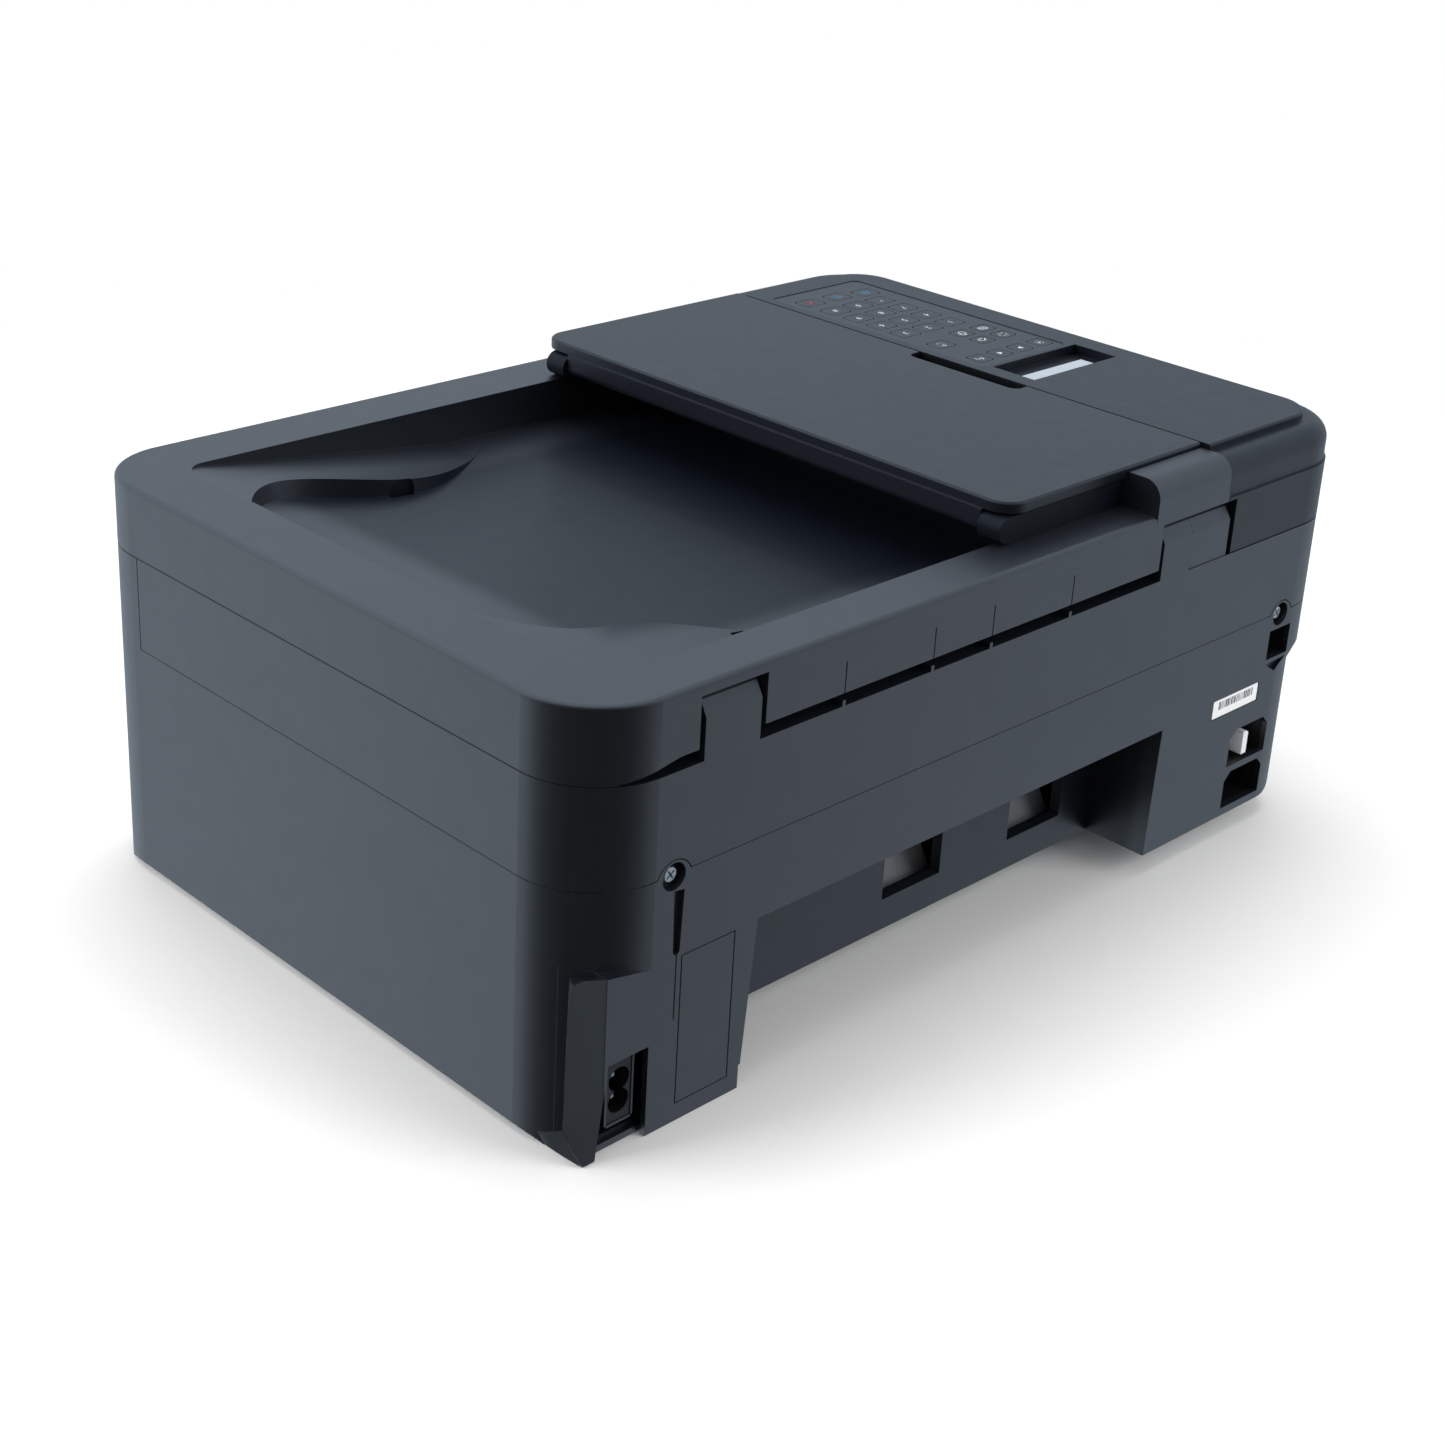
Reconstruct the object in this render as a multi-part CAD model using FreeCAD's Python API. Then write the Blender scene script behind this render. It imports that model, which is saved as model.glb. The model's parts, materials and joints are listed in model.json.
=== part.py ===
import FreeCAD, Part
import math
import os

# Compact four-in-one inkjet printer with a document feeder, in millimetres.
# Origin: middle of the footprint on the floor. +X is the user's right, +Y the rear, +Z up.
Vector = FreeCAD.Vector

# Overall body
WIDTH = 435.0
DEPTH = 295.0
HALF_W = WIDTH / 2.0
HALF_D = DEPTH / 2.0
CORNER_R = 32.0
WALL = 2.5
SEAM_GAP = 0.4
RUN_GAP = 0.3
SHAFT_GAP = 0.05

# Heights of the main levels
BASE_Z = 9.5
SEAM_Z = 99.0
DECK_Z = 137.0
DECK_T = 5.0
LID_Z = 137.6
LID_POCKET_Z = 142.5
RIM_Z = 165.5
BAND_Z = 162.3
SHOULDER_Z = 178.5
TOP_Z = 181.5

# Lower case: inlet leg, raised rear recess, hand-hold undercut, front frame
LEG_X = HALF_W - 76.5
LEG_LEAN = 5.3
SOCKET_LEG_X = 121.3 - HALF_W
SOCKET_LEG_LEAN = -3.0
OVERHANG_Z = 67.0
RECESS_DEPTH = 30.0
UNDERCUT = 6.5
UNDERCUT_Z = 79.0
UNDER_R = 28.0
FOOT_CHAMFER = 3.0
FRAME_Y = 36.5 - HALF_D
FRONT_HALF = 160.0
FRONT_LOW_Z = 13.0
FRONT_TOP_Z = 131.0
FRONT_SPLIT_Z = 64.0

# Rear sockets
SCREW_X = HALF_W - 40.4
SCREW_Z = 98.2
TAB_R = 8.0
TAB_DEPTH = 7.0
TAB_POCKET_R = 5.2
TAB_POCKET_DEPTH = 4.0
SCREW_R = 1.5
SCREW_HEAD_R = 3.4
SCREW_HEAD_T = 2.2
SCREW_LENGTH = 14.0
USB_X = CORNER_R + 6.7 - HALF_W
USB_Z = 84.8
USB_W = 15.4
USB_H = 13.4
USB_SET_BACK = 5.0
USB_RELIEF = ((USB_X + 7.7, 75.9), (USB_X - 7.7, 76.6), (USB_X - 0.2, 71.2))
INLET_X = HALF_W - 21.9
NOTCH_HALF = 10.2
NOTCH_FLARE = 4.6
NOTCH_TOP_Z = 36.0
NOTCH_DEPTH = 12.0
INLET_W = 13.0
INLET_Z0 = 8.8
INLET_Z1 = 35.0
INLET_PIN_R = 1.2
INLET_PIN_PITCH = 8.6
SUPPLY_Y0 = 84.0
SUPPLY_Y1 = 117.5
SUPPLY_TOP_Z = 62.0
JACK_X0 = CORNER_R + 5.5 - HALF_W
JACK_X1 = JACK_X0 + 28.0
JACK_Z = (13.0, 33.0)
JACK_H = 17.0
JACK_CORNER = 4.0
PORT_X = (-59.0, 17.0)
PORT_W = 34.0
PORT_Z0 = 23.0
PORT_H = 21.5
LABEL_X = (49.1 - HALF_W, 82.4 - HALF_W)
LABEL_Z = (60.1, 69.1)
LABEL_DEPTH = 0.3
SLIT = ((SCREW_X - 5.1, 91.8), (SCREW_X - 0.3, 92.6), (SCREW_X - 1.7, 67.6), (SCREW_X - 2.9, 67.6))
SLIT_DEPTH = 2.0
CORNER_BLOCK_X = HALF_W - 4.5
CORNER_BLOCK_Z = (66.0, 71.5)
LEG_PANEL_X = (LEG_X + 5.5, LEG_X + 30.5)
LEG_PANEL_Z = (7.0, 66.0)
CORNER_LINE_Z = 42.0
GROOVE_W = 0.5
GROOVE_DEPTH = 0.4
SKIRT_LINE_X = (99.5, 53.2, 20.7, -25.8)
SKIRT_LINE_TOP_Z = 154.0
SLOT_RIB_TOP_Z = 139.2

# Platen glass and hinge
GLASS_X0 = -150.0
GLASS_X1 = 156.0
GLASS_Y0 = -104.0
GLASS_Y1 = 116.0
GLASS_T = 3.0
GLASS_LEDGE = 4.0
HINGE_Y = HALF_D - 8.0
HINGE_Z = 154.0
TOWER_R = 6.4
TOWERS = ((140.3, 166.0), (-102.0, -83.0))
TOWER_FRONT_Y = HALF_D - 20.5
PIN_R = 2.5
NOTCH_CEILING_Z = 161.0
LID_NOTCH = (138.0, 168.5)
CABLE_NOTCH = (-130.5, -81.0)
CABLE_COVER = (-128.0, -102.6)
SKIRT_SLOT_Z = 142.0

# Lid basin
BASIN_X0 = -62.0
SHELF_X = HALF_W - 27.5
SHELF_Y0 = 27.5 - HALF_D
SHELF_Y1 = HALF_D - 21.5
SHELF_R = 9.0
SHELF_END_X = 62.0
SHELF_END_Z = 148.4
DISH_DRAFT = 7.0
LIP_SLOTS = ((115.0, -80.0), (112.0, 110.0))
LIP_SLOT_W = 12.0
LIP_SLOT_H = 3.0
DISH_X = SHELF_X - 7.0
DISH_FLOOR_Z = 147.0
DISH_RISE_X = 140.0
DISH_RISE_Z = 151.5
DISH_EDGE_Z = 161.0

# Document feeder
PANEL_X = -125.2
TRAY_X1 = -3.5
TRAY_Y0 = 19.5 - HALF_D
TRAY_Y1 = HALF_D - 16.5
TRAY_T = 4.5
TRAY_R = 10.0
TRAY_AXIS_X = -5.5
TRAY_AXIS_Z = 171.0
TRAY_BAR_R = 3.0
FEED_WALL_T = 11.0
BEARING_DEPTH = 7.0
FEED_DECK_Z = 169.5
FEED_WALL_Z = 176.2
FEED_X1 = -66.0
FINGER_Y0 = -19.0
FINGER_Y1 = 42.0
FINGER_DEPTH = 9.0
END_BLOCK_X0 = -124.0
END_BLOCK_X1 = -76.0
END_BLOCK_Z = 179.6
END_BLOCK_R = 8.0
END_LEDGE_Z = 176.4
ROLLER_R = 6.0
SHAFT_R = 2.0
DOCUMENT_ROLLER_R = 4.5
DOCUMENT_ROLLER_Z = 169.6
PICK_ROLLER_X = -58.0
EXIT_ROLLER_X = -40.0
DOOR_T = 3.0
DOOR_ROLL_R = 2.0
DOOR_PIN_R = 1.2
DOOR_PIN_LENGTH = 3.0
EXTENSION_HALF = 62.0
LIP = 1.2

# Control panel
PANEL_TOP_X0 = 12.5 - HALF_W
PANEL_TOP_Y0 = 18.5 - HALF_D
PANEL_TOP_Y1 = HALF_D - 12.5
PANEL_TOP_R = 18.0
SHOULDER_R = 8.0
BAND_INSET = 0.8
PANEL_SKIN_Z = 172.0
FILM_X0 = -189.0
FILM_X1 = -130.0
FILM_Y0 = -117.0
FILM_Y1 = 12.5
FILM_T = 0.8
DISPLAY_X0 = -192.0
DISPLAY_X1 = -134.0
DISPLAY_Y0 = 15.0
DISPLAY_Y1 = 38.0
DISPLAY_DEPTH = 4.5
DISPLAY_MARGIN = 8.0
DISPLAY_H = 9.0
DISPLAY_T = 1.4
KEY_GAP = 0.35
KEY_TRAVEL = 0.8
KEY_BEVEL = 1.2
KEY_SINK = 0.25
KEY_FLANGE = 1.2
KEY_FLANGE_T = 1.0

# Function keys: name, centre x, centre y, size along x, size along y
KEYS = (
    ("stop_key", -141.5, -102.0, 12.0, 9.0),
    ("start_black_key", -160.0, -102.0, 12.0, 9.0),
    ("start_colour_key", -177.0, -99.5, 12.0, 9.0),
    ("copy_key", -163.0, -27.0, 10.0, 8.0),
    ("scan_key", -177.5, -27.0, 10.0, 8.0),
    ("fax_key", -163.0, -15.0, 10.0, 8.0),
    ("setup_key", -177.5, -15.0, 10.0, 8.0),
    ("power_key", -141.5, -21.0, 11.0, 9.0),
    ("back_key", -139.5, 3.0, 9.0, 9.0),
    ("left_key", -153.5, 3.0, 9.0, 9.0),
    ("right_key", -167.5, 3.0, 9.0, 9.0),
    ("ok_key", -181.5, 3.0, 9.0, 9.0),
)
NUMBER_X = (-141.5, -157.0, -172.5)
NUMBER_Y = (-86.0, -71.5, -57.0, -42.5)
NUMBER_W = 12.0
NUMBER_H = 9.5

# Print engine
RAIL_Y = 52.0
RAIL_Z = 86.0
RAIL_HALF = HALF_W - 35.5
RIB_PITCH = 20.0
FEED_Y = 26.0
FEED_Z = 50.0
EJECT_Y = -44.0
EJECT_Z = 47.0
ENGINE_HALF = RAIL_HALF - 14.0
CARRIAGE_W = 92.0
CARRIAGE_PARK_X = RAIL_HALF - 54.0
SCAN_REST_X = -138.0
GEAR_X = 2.5 - RAIL_HALF
GEAR_W = 5.0
GEAR_MODULE = 2.0
FEED_TEETH = 18
IDLER_TEETH = 18
IDLER_PIN_R = 3.0
EJECT_TEETH = 18
BELT_Z = 93.0

END_BLOCK_Y0 = TRAY_Y1 - 13.0
TRAY_DOOR_Z = FRONT_LOW_Z + RUN_GAP
COVER_DOOR_Z = FRONT_SPLIT_Z + 2 * RUN_GAP


def box(x0, x1, y0, y1, z0, z1):
    """Block between two corners."""
    return Part.makeBox(x1 - x0, y1 - y0, z1 - z0, Vector(x0, y0, z0))


def rod(radius, length, start, direction):
    """Round bar from a start point along a direction."""
    return Part.makeCylinder(radius, length, Vector(*start), Vector(*direction))


def plan(x0, x1, y0, y1, radius, z0, z1):
    """Upright block whose four standing edges are rounded."""
    block = box(x0, x1, y0, y1, z0, z1)
    upright = [e for e in block.Edges if abs(e.Vertexes[0].Z - e.Vertexes[1].Z) > 1e-6]
    return block.makeFillet(radius, upright)


def key_block(x, y, w, h, corner, z0, z1):
    """Upright key-shaped block about a centre, its standing edges bevelled."""
    block = box(x - w / 2, x + w / 2, y - h / 2, y + h / 2, z0, z1)
    upright = [e for e in block.Edges if abs(e.Vertexes[0].Z - e.Vertexes[1].Z) > 1e-6]
    return block.makeChamfer(corner, upright)


def body_plan(inset, z0, z1):
    """The printer's rounded footprint, drawn in by an inset."""
    return plan(inset - HALF_W, HALF_W - inset, inset - HALF_D, HALF_D - inset, CORNER_R - inset, z0, z1)


def side_prism(points, y0, y1):
    """Outline in the XZ plane carried along Y."""
    wire = Part.makePolygon([Vector(x, y0, z) for x, z in points] + [Vector(points[0][0], y0, points[0][1])])
    return Part.Face(wire).extrude(Vector(0, y1 - y0, 0))


def end_prism(points, x0, x1):
    """Outline in the YZ plane carried along X."""
    wire = Part.makePolygon([Vector(x0, y, z) for y, z in points] + [Vector(x0, points[0][0], points[0][1])])
    return Part.Face(wire).extrude(Vector(x1 - x0, 0, 0))


def top_rounded(solid, radius, z):
    """Fillets every edge that lies in the level z."""
    edges = [e for e in solid.Edges if all(abs(v.Z - z) < 1e-6 for v in e.Vertexes)]
    return solid.makeFillet(radius, edges)


def top_bevelled(solid, size, z):
    """Bevels every edge that lies in the level z."""
    edges = [e for e in solid.Edges if all(abs(v.Z - z) < 1e-6 for v in e.Vertexes)]
    return solid.makeChamfer(size, edges)


def join(*solids):
    """Fuses pieces of one moulding into one clean solid."""
    return solids[0].multiFuse(list(solids[1:])).removeSplitter()


def gear(teeth, width, bore_r, start, phase):
    """Straight spur gear on an X axis, with trapezoid teeth and a bore."""
    pitch_r = GEAR_MODULE * teeth / 2.0
    root_r = pitch_r - 1.15 * GEAR_MODULE
    tip_r = pitch_r + 0.85 * GEAR_MODULE
    step = 2.0 * math.pi / teeth
    points = []
    for tooth in range(teeth):
        middle = phase + tooth * step
        for share, radius in ((-0.34, root_r), (-0.14, tip_r), (0.14, tip_r), (0.34, root_r)):
            angle = middle + share * step
            points.append((start[1] + radius * math.cos(angle), start[2] + radius * math.sin(angle)))
    blank = end_prism(points, start[0], start[0] + width)
    return blank.cut(rod(bore_r, width, start, (1, 0, 0)))


def tucked_body(inset, top):
    """Footprint carried up: its left side and corners are tucked in below the hand-hold edge."""
    low_z = UNDERCUT_Z - UNDERCUT
    tucked = body_plan(inset, -1.0, low_z)
    tucked.translate(Vector(UNDERCUT, 0, 0))
    full = body_plan(inset, UNDERCUT_Z, top)
    rim_low = [f for f in tucked.Faces if abs(f.CenterOfMass.z - low_z) < 1e-6][0].OuterWire
    rim_high = [f for f in full.Faces if abs(f.CenterOfMass.z - UNDERCUT_Z) < 1e-6][0].OuterWire
    slant = Part.makeLoft([rim_low, rim_high], True, True)
    return tucked.fuse(slant).fuse(full).common(body_plan(inset, -1.0, top))


def case_section(inset, top):
    """Outline of the lower case seen from the front: inlet leg, raised base, rounded left side."""
    right = HALF_W - inset
    left = inset - HALF_W + UNDERCUT
    leg = LEG_X + inset
    base = BASE_Z + inset
    radius = UNDER_R - inset
    bend = radius * math.sqrt(0.5)
    centre_x = left + radius
    centre_z = base + radius
    lines = [(left, centre_z), (left - UNDERCUT, centre_z), (left - UNDERCUT, top), (right, top)]
    lines += [(right, inset + FOOT_CHAMFER), (right - FOOT_CHAMFER, inset), (leg, inset), (leg, base)]
    lines += [(centre_x, base)]
    start = Vector(centre_x, 0, base)
    middle = Vector(centre_x - bend, 0, centre_z - bend)
    end = Vector(left, 0, centre_z)
    edges = [Part.Arc(start, middle, end).toShape()]
    for here, there in zip(lines, lines[1:]):
        edges.append(Part.makeLine(Vector(here[0], 0, here[1]), Vector(there[0], 0, there[1])))
    prism = Part.Face(Part.Wire(edges)).extrude(Vector(0, DEPTH, 0))
    prism.translate(Vector(0, -HALF_D, 0))
    return prism.common(tucked_body(inset, top))


def rear_recess(grow):
    """Space under the rear overhang, between the inlet leg and the socket leg."""
    top = OVERHANG_Z + grow
    points = [
        (SOCKET_LEG_X - grow, -1.0),
        (SOCKET_LEG_X + SOCKET_LEG_LEAN - grow, top),
        (LEG_X - LEG_LEAN + grow, top),
        (LEG_X + grow, -1.0),
    ]
    return side_prism(points, HALF_D - RECESS_DEPTH - grow, HALF_D + 1.0)


def screw_tab(x, grow, depth):
    """Arched tab that holds a case screw."""
    return rod(TAB_R + grow, depth, (x, HALF_D - depth, SCREW_Z - 2.0), (0, 1, 0))


def jack_window(z, y0, y1):
    """Opening of one telephone socket, with its upper corners cut off."""
    cut = JACK_CORNER
    top = z + JACK_H
    points = [(JACK_X0, z), (JACK_X1, z), (JACK_X1, top - cut), (JACK_X1 - cut, top)]
    points += [(JACK_X0 + cut, top), (JACK_X0, top - cut)]
    return side_prism(points, y0, y1)


def rear_groove(x0, x1, z0, z1):
    """Fine mould line in the rear wall."""
    return box(x0, x1, HALF_D - GROOVE_DEPTH, HALF_D + 1.0, z0, z1)


def rear_block(x, z, w, h, y0, y1):
    """Block about a point of the rear wall, running along Y."""
    return box(x - w / 2, x + w / 2, y0, y1, z - h / 2, z + h / 2)


def leg_panel_lines():
    """Fine lines round the plain panel on the inlet leg."""
    (x0, x1), (z0, z1) = LEG_PANEL_X, LEG_PANEL_Z
    w = GROOVE_W
    return [
        rear_groove(x0, x0 + w, z0, z1), rear_groove(x1, x1 + w, z0, z1),
        rear_groove(x0, x1 + w, z0, z0 + w), rear_groove(x0, x1 + w, z1, z1 + w),
        rear_groove(SCREW_X - 3.0, SCREW_X - 3.0 + w, CORNER_LINE_Z, SLIT[2][1]),
    ]


def corner_block():
    """Lower part of the inlet leg's rear corner, which is squared up to a sloping ledge."""
    x0 = HALF_W - CORNER_R
    y0 = HALF_D - CORNER_R
    low, high = CORNER_BLOCK_Z
    points = [(x0, 0.0), (x0, low), (CORNER_BLOCK_X, high), (CORNER_BLOCK_X, 0.0)]
    return side_prism(points, y0, HALF_D).cut(body_plan(WALL, WALL, DECK_Z))


def inlet_notch():
    """Open notch for the mains plug, its right wall flaring outwards to the floor."""
    x0 = INLET_X - NOTCH_HALF
    x1 = INLET_X + NOTCH_HALF - NOTCH_FLARE / 2
    points = [(x0, -1.0), (x0, NOTCH_TOP_Z), (x1, NOTCH_TOP_Z), (x1 + NOTCH_FLARE, -1.0)]
    return side_prism(points, HALF_D - NOTCH_DEPTH, HALF_D + 1.0)


def door_axis_z(z0):
    """Height of a flap's hinge line above its lower edge."""
    return z0 + DOOR_ROLL_R


def lower_case():
    outer = case_section(0.0, DECK_Z)
    keep = box(-HALF_W, HALF_W, -HALF_D, HALF_D, -1.0, SEAM_Z)
    keep = keep.fuse(box(-HALF_W, HALF_W, -HALF_D, FRAME_Y, -1.0, DECK_Z))
    outer = outer.common(keep)
    inner = case_section(WALL, DECK_Z - WALL)
    shell = outer.cut(rear_recess(0.0)).cut(inner.cut(rear_recess(WALL)))
    shell = shell.fuse(corner_block())
    for x in (-SCREW_X, SCREW_X):
        tab = screw_tab(x, 0.0, TAB_DEPTH)
        shell = shell.fuse(tab)
        shell = shell.cut(rod(TAB_POCKET_R, TAB_DEPTH, (x, HALF_D - TAB_POCKET_DEPTH, SCREW_Z), (0, 1, 0)))
        shell = shell.cut(rod(SCREW_R + SHAFT_GAP, 20.0, (x, HALF_D - 20.0, SCREW_Z), (0, 1, 0)))
    cuts = [
        box(-FRONT_HALF, FRONT_HALF, -HALF_D - 1.0, FRAME_Y - 20.0, FRONT_LOW_Z, FRONT_TOP_Z),
        rear_block(USB_X, USB_Z, USB_W, USB_H, HALF_D - 20.0, HALF_D + 1.0),
        inlet_notch(),
        side_prism(SLIT, HALF_D - SLIT_DEPTH, HALF_D + 1.0),
        side_prism(USB_RELIEF, HALF_D - SLIT_DEPTH, HALF_D + 1.0),
        box(LABEL_X[0], LABEL_X[1], HALF_D - LABEL_DEPTH, HALF_D + 1.0, LABEL_Z[0], LABEL_Z[1]),
    ]
    cuts += leg_panel_lines()
    cuts += [jack_window(z, HALF_D - 14.0, HALF_D + 1.0) for z in JACK_Z]
    for z0 in (TRAY_DOOR_Z, COVER_DOOR_Z):
        reach = FRONT_HALF + DOOR_PIN_LENGTH + RUN_GAP
        start = (-reach, DOOR_ROLL_R - HALF_D, door_axis_z(z0))
        cuts.append(rod(DOOR_PIN_R + SHAFT_GAP, 2 * reach, start, (1, 0, 0)))
    for x in PORT_X:
        y = HALF_D - RECESS_DEPTH
        cuts.append(box(x - PORT_W / 2, x + PORT_W / 2, y - 4.0, y + 1.0, PORT_Z0, PORT_Z0 + PORT_H))
    for cutter in cuts:
        shell = shell.cut(cutter)
    return shell.removeSplitter()


def hinge_profile(shrink):
    """Side outline of a hinge tower, rounded about the hinge axis."""
    radius = TOWER_R - shrink
    lean = math.radians(18.0)
    points = [(TOWER_FRONT_Y + shrink, DECK_Z), (HALF_D - shrink, DECK_Z), (HALF_D - shrink, HINGE_Z - 1.5)]
    for step in range(9):
        angle = lean + (math.pi - lean) * step / 8.0
        points.append((HINGE_Y + radius * math.cos(angle), HINGE_Z + radius * math.sin(angle)))
    points.append((TOWER_FRONT_Y + shrink, HINGE_Z - 8.0))
    return points


def upper_case():
    low = SEAM_Z + SEAM_GAP
    ring = body_plan(0.0, low, DECK_Z).cut(body_plan(WALL, low - 1.0, DECK_Z - DECK_T))
    ring = ring.common(box(-HALF_W, HALF_W, FRAME_Y + SEAM_GAP, HALF_D, low, DECK_Z))
    ring = ring.cut(box(GLASS_X0, GLASS_X1, GLASS_Y0, GLASS_Y1, DECK_Z - GLASS_T, DECK_Z + 1.0))
    window_x = (GLASS_X0 + GLASS_LEDGE, GLASS_X1 - GLASS_LEDGE)
    window_y = (GLASS_Y0 + GLASS_LEDGE, GLASS_Y1 - GLASS_LEDGE)
    ring = ring.cut(box(*window_x, *window_y, DECK_Z - 2 * DECK_T, DECK_Z))
    # Groove behind a thin lip, where the control panel's rear skirt dips as the cover opens
    groove = box(-HALF_W, CABLE_NOTCH[0] + 1.0, HINGE_Y - 8.0, HALF_D, DECK_Z - 2.2, DECK_Z + 1.0)
    ring = ring.cut(groove.common(body_plan(LIP, 0.0, TOP_Z)))
    for x in (-SCREW_X, SCREW_X):
        ring = ring.cut(screw_tab(x, SEAM_GAP, TAB_DEPTH + SEAM_GAP))
        boss_y = HALF_D - TAB_DEPTH - SEAM_GAP
        boss = box(x - 5.0, x + 5.0, boss_y - 12.0, boss_y, SCREW_Z - 5.0, SCREW_Z + 14.0)
        web = box(x - 5.0, x + 5.0, boss_y, HALF_D - WALL + 0.1, SCREW_Z + 8.0, SCREW_Z + 14.0)
        ring = ring.fuse(boss).fuse(web)
        ring = ring.cut(rod(SCREW_R, 40.0, (x, HALF_D - 40.0, SCREW_Z), (0, 1, 0)))
    for x in SKIRT_LINE_X:
        ring = ring.fuse(box(x - 0.8, x + 0.8, HINGE_Y, HALF_D, DECK_Z - 1.0, SLOT_RIB_TOP_Z))
    for x0, x1 in TOWERS:
        ring = ring.fuse(end_prism(hinge_profile(0.0), x0, x1))
        ring = ring.cut(rod(PIN_R + SHAFT_GAP, x1 - x0, (x0, HINGE_Y, HINGE_Z), (1, 0, 0)))
    return ring.removeSplitter()


def cable_cover():
    """Small cover over the ribbon cables beside the right hinge tower."""
    x0, x1 = CABLE_COVER
    return end_prism(hinge_profile(SEAM_GAP), x0, x1)


def platen_glass():
    gap = 0.1
    return box(GLASS_X0 + gap, GLASS_X1 - gap, GLASS_Y0 + gap, GLASS_Y1 - gap, DECK_Z - GLASS_T, DECK_Z - 0.1)


def rubber_feet():
    places = [(x, y) for x in (-165.0, 110.0) for y in (-105.0, 70.0)]
    return Part.Compound([key_block(x, y, 26.0, 11.0, 4.0, 0.0, BASE_Z) for x, y in places])


def case_screws():
    screws = []
    for x in (-SCREW_X, SCREW_X):
        seat = HALF_D - TAB_POCKET_DEPTH
        head = rod(SCREW_HEAD_R, SCREW_HEAD_T, (x, seat, SCREW_Z), (0, 1, 0))
        rim = [e for e in head.Edges if all(abs(v.Y - seat - SCREW_HEAD_T) < 1e-6 for v in e.Vertexes)]
        head = head.makeChamfer(0.8, rim)
        shank = rod(SCREW_R, SCREW_LENGTH, (x, seat - SCREW_LENGTH, SCREW_Z), (0, 1, 0))
        screws.append(head.fuse(shank))
    return Part.Compound(screws)


def power_inlet():
    """Two-pin mains inlet: a body with a figure-of-eight well and two round pins."""
    face_y = HALF_D - 3.0
    x0 = INLET_X - INLET_W / 2
    body = box(x0, x0 + INLET_W, SUPPLY_Y1, face_y, INLET_Z0, INLET_Z1)
    middle_z = (INLET_Z0 + INLET_Z1) / 2
    pins = []
    for side in (-0.5, 0.5):
        z = middle_z + side * INLET_PIN_PITCH
        body = body.cut(rod(4.6, 14.0, (INLET_X, face_y - 14.0, z), (0, 1, 0)))
        pins.append(rod(INLET_PIN_R, 12.0, (INLET_X, face_y - 16.0, z), (0, 1, 0)))
    return join(body, *pins)


def usb_port():
    """Square socket with a tongue, behind its hole in the rear wall."""
    w, h = 12.0, 11.0
    y1 = HALF_D - WALL - 0.1
    front = y1 - USB_SET_BACK
    can = box(USB_X - w / 2, USB_X + w / 2, front - 16.0, front, USB_Z - h / 2, USB_Z + h / 2)
    skin = 1.2
    well = rear_block(USB_X, USB_Z, w - 2 * skin, h - 2 * skin, front - 9.0, front + 1.0)
    tongue = rear_block(USB_X, USB_Z, 5.6, 3.2, front - 10.0, front - 1.0)
    frame_w = USB_W / 2 + 1.0
    frame = box(USB_X - frame_w, USB_X + frame_w, front - 1.5, y1, USB_Z - USB_H / 2 - 1.0, USB_Z + 3.0)
    tunnel = rear_block(USB_X, USB_Z, USB_W, USB_H, front, y1 + 1.0)
    return join(can.fuse(frame.cut(tunnel)).cut(well), tongue)


def phone_jacks():
    """Two stacked telephone sockets at the back of one open housing."""
    face_y = HALF_D - WALL - 0.2
    back_y = HALF_D - 14.2
    body = box(JACK_X0 - 2.0, JACK_X1 + 2.0, back_y - 14.0, face_y, BASE_Z + WALL, JACK_Z[1] + JACK_H + 2.0)
    x = (JACK_X0 + JACK_X1) / 2
    for z in JACK_Z:
        body = body.cut(jack_window(z, back_y, face_y + 1.0))
        body = body.cut(box(x - 5.2, x + 5.2, back_y - 11.0, back_y + 1.0, z + 3.5, z + 11.0))
        body = body.cut(box(x - 3.0, x + 3.0, back_y - 11.0, back_y + 1.0, z + 11.0, z + 13.0))
    return body


def jack_plug():
    """White dust plug in the upper telephone socket, with a pull tab."""
    x = (JACK_X0 + JACK_X1) / 2
    z = JACK_Z[1] + 3.5
    back_y = HALF_D - 14.2
    core = box(x - 4.8, x + 4.8, back_y - 9.0, back_y + 5.0, z + 0.4, z + 7.0)
    tab = box(x - 1.8, x + 1.8, back_y + 5.0, back_y + 13.0, z - 1.5, z + 9.0)
    return join(core, top_rounded(tab, 1.0, z + 9.0))


def power_supply():
    x0 = LEG_X + WALL + 4.0
    body = box(x0, HALF_W - WALL - 4.0, SUPPLY_Y0, SUPPLY_Y1, WALL, SUPPLY_TOP_Z)
    upright = [e for e in body.Edges if abs(e.Length - (SUPPLY_TOP_Z - WALL)) < 1e-3]
    return body.makeFillet(4.0, upright)


def main_board():
    """Circuit board on stand-offs beside the left cheek of the print engine."""
    x = -RAIL_HALF - 8.0
    board = box(x, x + 1.6, -70.0, 100.0, 44.0, 106.0)
    places = [(y, z) for y in (-60.0, 72.0) for z in (54.0, 96.0)]
    posts = [box(x + 1.6, -RAIL_HALF, y - 3.0, y + 3.0, z - 3.0, z + 3.0) for y, z in places]
    chips = [box(x - 2.0, x, y, y + 22.0, 76.0, 98.0) for y in (-40.0, 10.0)]
    caps = [box(x - 12.0, x, y, y + 10.0, 55.0, 65.0) for y in (-55.0, 55.0)]
    return join(board, *posts, *chips, *caps)


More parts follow.
